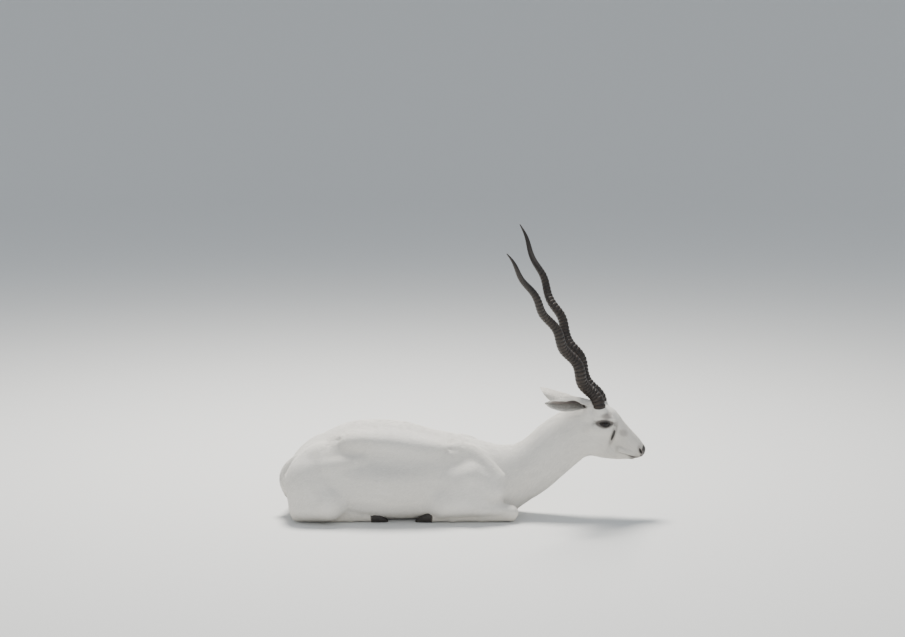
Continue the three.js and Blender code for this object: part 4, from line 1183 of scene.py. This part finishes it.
def ear(side_name):
    t = np.linspace(0, 1, EAR_ROWS)[:, None]
    w = np.linspace(-1, 1, EAR_ACROSS)[None]
    half = ear_half(t, w)
    ridges = 0.0
    for place, width in ((-0.42, 0.10), (0.0, 0.12), (0.42, 0.10)):
        ridges = ridges + hump(w, place * (0.55 + 0.5 * t), width)
    ridges = 1.1 * ridges * smooth(t, 0.05, 0.25) * (1 - smooth(t, 0.55, 0.85))
    outer = ear_point(side_name, t, w, half)
    inner = ear_point(side_name, t, w, -half - ridges)[:, ::-1]
    rim = ear_point(side_name, t, np.array([[1.0, -1.0]]) * 1.012, 0.0)
    ring = np.concatenate([outer, rim[:, :1], inner, rim[:, 1:]], 1)
    around = ring.shape[1]
    vertices = ring.reshape(-1, 3)
    quads = grid_quads(EAR_ROWS, around)
    ends = []
    for row, flip in ((0, False), (EAR_ROWS - 1, True)):
        base = row * around
        top = base + np.arange(EAR_ACROSS)
        under = base + EAR_ACROSS + 1 + np.arange(EAR_ACROSS)[::-1]
        strip = np.stack([top[:-1], under[:-1], under[1:], top[1:]], 1)
        strip = strip[:, ::-1] if flip else strip
        left = np.array([[top[-1], under[-1], base + EAR_ACROSS]])
        right = np.array([[under[0], top[0], base + around - 1]])
        tips = np.concatenate([left, right])
        ends += [strip, tips[:, ::-1] if flip else tips]
    if side_name == "left":
        quads = quads[:, ::-1]
        ends = [e[:, ::-1] for e in ends]
    across = np.concatenate([w[0], [1.0], w[0][::-1], [-1.0]])
    inside = np.concatenate([np.zeros(EAR_ACROSS), [0.5], np.ones(EAR_ACROSS), [0.5]])
    ts, ws = np.repeat(t[:, 0], around), np.tile(across, EAR_ROWS)
    ins = np.tile(inside, EAR_ROWS)
    colour = ear_colour(ts, ws, ins)
    grain_ear = np.stack([ts * EAR_LENGTH, ws * ear_width(ts), ins * 9], 1)
    new_piece(f"ear_{side_name}", vertices, [quads, *ends], COAT_LOOK, "coat",
              [f"ear_{side_name}"], tone=colour, grain=grain_ear, calm=np.ones(len(ts)),
              bare=ins * (1 - np.abs(ws)) * 0.4)


def ear_colour(t, w, inside):
    colour = blended(np.tile(WHITE, (len(t), 1)), CREAM, np.full(len(t), 0.2))
    # inside the ear away from the rims: partly the bare skin's own grey, partly painted shade
    grey = inside * (1 - smooth(np.abs(w), 0.72, 1.0)) * (1 - smooth(t, 0.8, 1.0))
    colour = blended(colour, INNER_SKIN_AND_SHADE, 0.9 * grey)
    # painted shade in the deep middle of the cup, towards the root
    cup_painted_shade = inside * (1 - smooth(np.abs(w), 0.3, 0.7)) * (1 - smooth(t, 0.35, 0.75))
    return blended(colour, INNER_PAINTED_SHADE, 0.75 * cup_painted_shade)


for side_name, _ in SIDES:
    ear(side_name)

# Hooves

CLAW = {"length": 54, "width": 13, "height": 29, "cleft": 1.8}
FEET = (("fore", (-89, LEG_OUT), -1), ("hind", (-281, HIND_OUT), 1))  # start and heading
claw_height = spline([0, 0.25, 0.5, 0.75, 1], [1, 0.98, 0.8, 0.52, 0.16])
claw_width = spline([0, 0.3, 0.6, 0.85, 1], [0.95, 1, 0.9, 0.62, 0.24])
CLAW_ROWS, CLAW_AROUND = 48, 40


def claw(name, start, heading, side, outer):
    """One claw: flat towards the cleft, with growth rings, and a sole flat on the floor."""
    across = side * (1 if outer else -1)
    t = np.linspace(0, 1, CLAW_ROWS)[:, None]
    turn = (2 * math.pi * (np.arange(CLAW_AROUND) + 0.5) / CLAW_AROUND)[None]
    end = np.sqrt(np.maximum(1 - smooth(t, 0.9, 1.06) ** 2, 0.02))
    rings = 1 + 0.018 * np.sin(t * 95) * (1 - smooth(t, 0.75, 1))
    band = 1 + 0.05 * hump(t, 0.03, 0.05)
    height = CLAW["height"] * claw_height(t) * rings * band * end
    width = CLAW["width"] * claw_width(t) * rings * band * end
    sideways = np.maximum(np.cos(turn), -0.55) + 0.55
    y = start[1] * side + across * (CLAW["cleft"] / 2 + sideways / 1.5 * width)
    z = np.clip(0.5 + 0.56 * np.sin(turn), 0, 1) * height + FLOOR_CLEARANCE
    slant = (1 - z / CLAW["height"]) * 3.0
    x = start[0] + heading * (t * CLAW["length"] + slant * (1 - t)) + 0 * turn
    points = np.stack([x, y, z], -1)
    ordered = points if heading * across < 0 else points[:, ::-1]
    middle = ordered.mean(1)
    vertices = np.concatenate([ordered.reshape(-1, 3), middle[:1], middle[-1:]])
    colour = np.tile([0.030, 0.025, 0.022], (len(vertices), 1))
    places = np.append(np.repeat(t[:, 0], CLAW_AROUND), [0, 1])
    colour = blended(colour, (0.16, 0.13, 0.10), 0.6 * (1 - smooth(places, 0.0, 0.12)))
    local = vertices[:, [1, 0, 2]] * (1, heading, 1)
    new_piece(name, vertices, tube_faces(CLAW_ROWS, CLAW_AROUND, True), HOOF_LOOK, "hoof", [name],
              tone=colour, grain=local)


for side_name, side_sign in SIDES:
    for which, is_outer in (("outer", True), ("inner", False)):
        for leg, start, heading in FEET:
            claw(f"claw_{leg}_{which}_{side_name}", start, heading, side_sign, is_outer)

# Coat: thin closed tufts rooted in the skin, lying along it

TUFTS_A_PIECE = 19000
TUFT_CORNERS = 7  # three at the root, three in the middle and the tip
TUFT_FACES = (
    [[0, 2, 1], [3, 4, 6], [4, 5, 6], [5, 3, 6]],
    [[0, 1, 4, 3], [1, 2, 5, 4], [2, 0, 3, 5]],
)
ROOT_SUNK = 0.6
WAVER = 0.14  # radians by which a tuft strays from the lie of the hair
PATCH = 0.0015  # half of a tuft's patch on the unwrap
LEGS, TAIL = range(1, 9), 9


# Each measure on the trunk, in mm, and what is added on the throat, head, face, muzzle, legs,
# feet and tail
COAT_KIND = {
    "spacing": (3.6, 0, -1.4, 0, -0.25, -0.9, 0, -0.6),
    "length": (17, 3, -6, -3.5, -2, -5, -3, 4),
    "width": (2.7, 0, -1.1, -0.35, -0.15, -0.8, 0, -0.3),
    "lift": (0.42, 0.25, -0.06, -0.06, 0, -0.06, 0, 0.3),
}


def coat_kind(p, label):
    """Spacing, length, width and lift of the tufts at each place."""
    s = to_head(p)[:, 0]
    on_head = head_share(p, label)
    throat = smooth(p[:, 0], 110, 220) * (1 - on_head) * (label == 0)
    legs = np.isin(label, LEGS)
    feet = legs * (1 - smooth(p[:, 2], 22, 60))
    places = (throat, on_head, on_head * smooth(s, 10, 70), on_head * smooth(s, 90, 170), legs,
              feet, label == TAIL)
    return [sum((k * place for k, place in zip(more, places) if k), start=base)
            for base, *more in COAT_KIND.values()]


def tuft_piece(name, root, normal, way, middle, tip, width, tone, grain, calm, place, even=True):
    """One mesh of many tufts. Each is a wedge, widest in its middle, that ends in a point."""
    count = len(root)
    side = unit(np.cross(normal, way))
    half = (width / 2)[:, None] * side
    rise = (width * 0.1)[:, None] * normal
    base = root - ROOT_SUNK * normal
    corners = np.stack([base - 0.7 * half, base + 0.7 * half, base + rise,
                        middle - half - rise, middle + half - rise, middle + rise, tip], 1)
    lean = np.array([-0.35, 0.35, 0, -0.35, 0.35, 0, 0])
    shading = unit(normal[:, None] + lean[None, :, None] * side[:, None])
    shade = np.array([0.93, 0.93, 0.93, 1.0, 1.0, 1.0, 1.03])
    colour = np.minimum(tone[:, [0, 0, 0, 1, 1, 1, 2]] * shade[None, :, None], 0.95)
    spread = np.array([[-1, -1], [1, -1], [0, -1], [-1, 0], [1, 0], [0, 0], [0, 1]]) * PATCH
    uv = (place[:, None] + spread[None]).reshape(-1, 2)
    local = grain[:, None] + np.array([[0, 0, 0]] * 3 + [[6, 1.2, 0]] * 3 + [[12, 0, 1.2]])[None]
    first = (np.arange(count) * TUFT_CORNERS)[:, None, None]
    faces = [(first + np.array(group)[None]).reshape(-1, len(group[0])) for group in TUFT_FACES]
    mesh = new_piece(name, corners.reshape(-1, 3), faces, COAT_LOOK, "coat",
                     tone=colour.reshape(-1, 3), grain=local.reshape(-1, 3),
                     bare=np.zeros(count * TUFT_CORNERS),
                     calm=np.repeat(calm, TUFT_CORNERS)).data
    index = np.empty(len(mesh.loops), np.int32)
    mesh.loops.foreach_get("vertex_index", index)
    mesh.uv_layers.new(name="OFBake").data.foreach_set("uv", uv[index].astype(np.float32).ravel())
    if even:
        mesh.normals_split_custom_set_from_vertices(shading.reshape(-1, 3))


def unwrap(p, label):
    """The skin rolled out: along and round the spine, with each leg and the tail on a strip."""
    along, _, off = spine_place(p)
    turn = np.arctan2(off[:, 1], off[:, 2]) / (2 * math.pi) + 0.5
    place = np.stack([0.02 + 0.96 * along / along.max(), 0.44 + 0.54 * turn], 1)
    for i, (_, direction, _) in enumerate(PARTS):
        mine = label == i
        if direction is None or not mine.any():
            continue
        axis = unit(direction)
        far = p[mine] @ axis
        around = p[mine] - p[mine].mean(0)
        round_ = np.arctan2(around[:, 1], around[:, 2]) / (2 * math.pi) + 0.5
        place[mine, 0] = 0.02 + 0.96 * (far - far.min()) / (far.max() - far.min())
        place[mine, 1] = 0.01 + 0.046 * (i - 1) + 0.038 * round_
    return place


def coat_roots(rng):
    """Places spread over the skin by area, as close together as the coat is there."""
    fans = [[ring[0], ring[i], ring[i + 1]] for ring in skin_rims for i in range(1, len(ring) - 1)]
    triangles = np.concatenate([skin_quads[:, [0, 1, 2]], skin_quads[:, [0, 2, 3]], fans])
    corner = skin_vertices[triangles]
    edges = corner[:, 1:] - corner[:, :1]
    area = np.linalg.norm(np.cross(edges[:, 0], edges[:, 1]), axis=1) / 2
    near = label[triangles[:, 0]]
    spacing, _, _, _ = coat_kind(corner.mean(1), near)
    count = np.floor(area / spacing ** 2 + rng.random(len(area))).astype(int)
    chosen = np.repeat(np.arange(len(triangles)), count)
    a, b = rng.random((2, len(chosen)))
    flip = a + b > 1
    a, b = np.where(flip, 1 - a, a), np.where(flip, 1 - b, b)
    share = np.stack([1 - a - b, a, b], 1)
    root = (corner[chosen] * share[..., None]).sum(1)
    normal = unit((skin_normals[triangles[chosen]] * share[..., None]).sum(1))
    return root, normal, near[chosen]


def coat_free(p, normal, label):
    """Where no hair grows: nose, lids, slits, lips, and the flats that the animal lies on."""
    q = to_head(p)
    _, bare = markings_and_painted_shade(p, label)
    free = (bare > 0.5) | ((p[:, 2] < 3) & (normal[:, 2] < -0.4)) | (p[:, 2] < 1.2)
    gap, open_ = lip_gap(q)
    opened = (np.abs(gap) < 1.6) & (open_ > 0.2)
    for side in (1, -1):
        _, edge, _, reach, _, _ = lid_place(q, side)
        opened |= (edge < 3.0) & (reach < 36)
    for _, far in slit_places(q):
        opened |= far < 1.35
    return free | (opened & (p[:, 0] > FACE_FROM))


def skin_height(p):
    """How far the skin's folds stand out from the flesh near each place."""
    height = np.zeros(len(p))
    chosen = np.flatnonzero(skin_vertices[:, 0] > FACE_FROM)
    tree = KDTree(len(chosen))
    for number, place in enumerate(skin_vertices[chosen].tolist()):
        tree.insert(place, number)
    tree.balance()
    own = flesh(skin_vertices[chosen])
    wanted = np.flatnonzero(p[:, 0] > FACE_FROM + 5)
    nearest = [tree.find(place)[1] for place in p[wanted].tolist()]
    height[wanted] = own[nearest]
    return np.clip(height, -5, 6)


def laid(root, way, reach, height):
    """Points a reach away from the roots, brought to a height over the flesh."""
    p = root + way * reach[:, None]
    value, gradient = slope(flesh, p)
    move = (height - value) / np.maximum(dots(gradient, gradient), 0.25)
    p = p + gradient * np.clip(move, -8, 8)[:, None]
    p[:, 2] = np.maximum(p[:, 2], FLOOR_CLEARANCE)
    return p, unit(gradient)


def body_coat():
    rng = np.random.default_rng(SEED)
    root, normal, part = coat_roots(rng)
    kept = ~coat_free(root, normal, part)
    root, normal, part = root[kept], normal[kept], part[kept]
    way, local, part, seam = hair(root, normal)
    turn = rng.normal(0, WAVER, len(root))
    way = unit(way * np.cos(turn)[:, None] + np.cross(normal, way) * np.sin(turn)[:, None])
    _, length, width, lift = coat_kind(root, part)
    length = length * rng.uniform(0.72, 1.22, len(root))
    q = to_head(root)
    gap, open_ = lip_gap(q)
    limits = [((open_ > 0.1) & (np.abs(gap) < 8), 2.4 + 0.5 * np.abs(gap))]
    for side in (1, -1):
        _, edge, _, reach, _, _ = lid_place(q, side)
        limits.append((reach < 40, 2.2 + 0.55 * edge))
    limits += [(far < 3, 2.2 + 4 * (far - 1.3)) for _, far in slit_places(q)]
    for near, most in limits:  # short hair beside every opening of the face
        near = near & (root[:, 0] > FACE_FROM)
        length = np.where(near, np.minimum(length, most), length)
    width = np.minimum(width * rng.uniform(0.8, 1.2, len(root)), 0.4 * length)
    lift = lift * rng.uniform(0.5, 1.4, len(root))
    half, full = length[:, None] * 0.5, length[:, None]
    middle, _ = laid(root, way, length * 0.5, skin_height(root + way * half) + 0.35 * lift)
    tip, facing = laid(root, way, length, skin_height(root + way * full) + lift)
    colour = np.stack([markings_and_painted_shade(place, part)[0] for place in (root, middle, tip)], 1)
    colour = colour * rng.uniform(0.95, 1.04, (len(root), 1, 1))
    place = unwrap(root, part)
    flat = (dots(facing, normal) > 0.45) & (dots(unit(tip - root), way) > 0.8)
    order = np.lexsort((place[:, 0], part > 0))
    order = order[flat[order]]
    for number, start in enumerate(range(0, len(order), TUFTS_A_PIECE)):
        i = order[start:start + TUFTS_A_PIECE]
        tuft_piece(f"coat_{number + 1}", root[i], normal[i], way[i], middle[i], tip[i], width[i],
                   colour[i], local[i], seam[i], place[i])


EAR_TUFTS = {"back": 5200, "cup": 3000}


def ear_coat(side_name, number):
    """Short hair on the back of the ear, and a pale fringe that leans in over the cup."""
    rng = np.random.default_rng(SEED + 10 + number)
    back, cup = EAR_TUFTS["back"], EAR_TUFTS["cup"]
    total = back + cup
    inside = np.arange(total) >= back
    t = np.where(inside, rng.uniform(0.12, 0.97, total), rng.uniform(0.02, 0.985, total))
    edge_side = np.where(rng.random(total) < 0.5, -1.0, 1.0)
    near_edge = edge_side * (0.95 - 0.5 * rng.random(total) ** 1.6)
    w = np.where(inside, near_edge, rng.uniform(-1, 1, total))
    sign = np.where(inside, -1.0, 1.0)
    half = sign * ear_half(t, w)
    root = ear_point(side_name, t, w, half)
    normal = unit(ear_point(side_name, t, w, half + sign * 1.0) - root)
    length = np.where(inside, rng.uniform(8, 15, total), rng.uniform(7, 11, total))
    length = length * (1 - 0.4 * smooth(t, 0.8, 1.0))
    width = np.where(inside, 0.9, 1.6) * rng.uniform(0.8, 1.2, total)
    rise = np.where(inside, 1.0, 0.5) * rng.uniform(0.6, 1.3, total)
    drift = rng.normal(0, 0.12, total) - np.where(inside, 0.7 * np.sign(w) * (np.abs(w) > 0.5), 0)
    reach = length / EAR_LENGTH * (1 - 0.3 * inside)

    def beside(share, height):
        to_t = t + share * reach
        to_w = w + share * drift * length / ear_width(t)
        within = np.minimum(to_t, 0.99)
        offset = sign * (ear_half(within, to_w) + height)
        return ear_point(side_name, within, to_w, offset) + (
            ear_frame(side_name)[1] * ((to_t - within) * EAR_LENGTH)[:, None])

    middle, tip = beside(0.5, 0.4 * rise), beside(1.0, rise)
    way = unit(tip - root)
    colour = ear_colour(t, w, inside * 1.0)
    pale = np.where(inside, smooth(np.abs(w), 0.4, 0.75), 0)
    colour = blended(colour, WHITE * 0.95, 0.8 * pale) * rng.uniform(0.95, 1.04, (total, 1))
    local = np.stack([t * EAR_LENGTH, w * ear_width(t), inside * 9.0], 1)
    place = np.stack([0.02 + 0.96 * t, 0.26 + 0.22 * w + 0.5 * inside], 1)
    colour = np.repeat(colour[:, None], 3, 1)
    tuft_piece(f"coat_ear_{side_name}", root, normal, way, middle, tip, width, colour, local,
               np.ones(total), place, even=False)


body_coat()
for ear_number, (side_name, _) in enumerate(SIDES):
    ear_coat(side_name, ear_number)

# Floor, light and camera


FLOOR_FLAT, FLOOR_EDGE, FLOOR_RISE = 11.0, 16.0, 5.0  # metres
CAMERA_AT = (-0.0295, -6.1, 1.5)
CAMERA_DOWN = math.radians(8.26)


def add_floor():
    """A pale floor that curves up all round, far from the animal."""
    rings = np.concatenate([[0.5, 2, 5, 8], np.linspace(FLOOR_FLAT, FLOOR_EDGE, 25)])
    turn = np.linspace(0, 2 * math.pi, 97)[:-1]
    share = np.clip((rings - FLOOR_FLAT) / (FLOOR_EDGE - FLOOR_FLAT), 0, 1)
    height = FLOOR_RISE * (1 - np.sqrt(1 - 0.96 * share ** 2))
    points = np.stack([rings[:, None] * np.cos(turn), rings[:, None] * np.sin(turn),
                       height[:, None] + 0 * turn], -1).reshape(-1, 3)
    vertices = np.concatenate([points, [[0, 0, 0]]])
    middle = fan(len(vertices) - 1, 0, len(turn))
    mesh = bpy.data.meshes.new("floor")
    quads = grid_quads(len(rings), len(turn))[:, ::-1]
    mesh.from_pydata(vertices.tolist(), [], quads.tolist() + middle.tolist())
    mesh.polygons.foreach_set("use_smooth", np.ones(len(mesh.polygons), bool))
    floor = bpy.data.objects.new("floor", mesh)
    bpy.context.scene.collection.objects.link(floor)
    mesh.materials.append(
        Look("floor", Roughness=0.85, Base_Color=(0.74, 0.74, 0.73, 1)).material)


def area_light(name, location, target, size, power, colour):
    light = bpy.data.lights.new(name, "AREA")
    light.shape, light.size, light.energy, light.color = "DISK", size, power, colour
    lamp = bpy.data.objects.new(name, light)
    way = np.array(target) - np.array(location)
    lamp.location = location
    yaw = math.atan2(way[1], way[0]) - math.pi / 2
    pitch = math.atan2(math.hypot(way[0], way[1]), -way[2])
    lamp.rotation_euler = (pitch, 0, yaw)
    bpy.context.scene.collection.objects.link(lamp)


def add_light():
    world = bpy.data.worlds.new("studio")
    bpy.context.scene.world = world
    world.use_nodes = True
    background = world.node_tree.nodes["Background"]
    background.inputs["Color"].default_value = (0.86, 0.93, 1.0, 1)
    background.inputs["Strength"].default_value = 0.62
    area_light("key", (-0.4, 1.3, 3.8), (0, 0, 0.2), 1.3, 330, (1.0, 0.965, 0.90))
    area_light("fill", (1.0, -4.0, 2.6), (0, 0, 0.2), 3.0, 34, (0.94, 0.97, 1.0))


def add_camera():
    camera = bpy.data.cameras.new("camera")
    camera.lens = 80
    camera.sensor_width = 36
    holder = bpy.data.objects.new("camera", camera)
    holder.location = CAMERA_AT
    holder.rotation_euler = (math.pi / 2 - CAMERA_DOWN, 0, 0)
    bpy.context.scene.collection.objects.link(holder)
    bpy.context.scene.camera = holder


add_floor()
add_light()
add_camera()
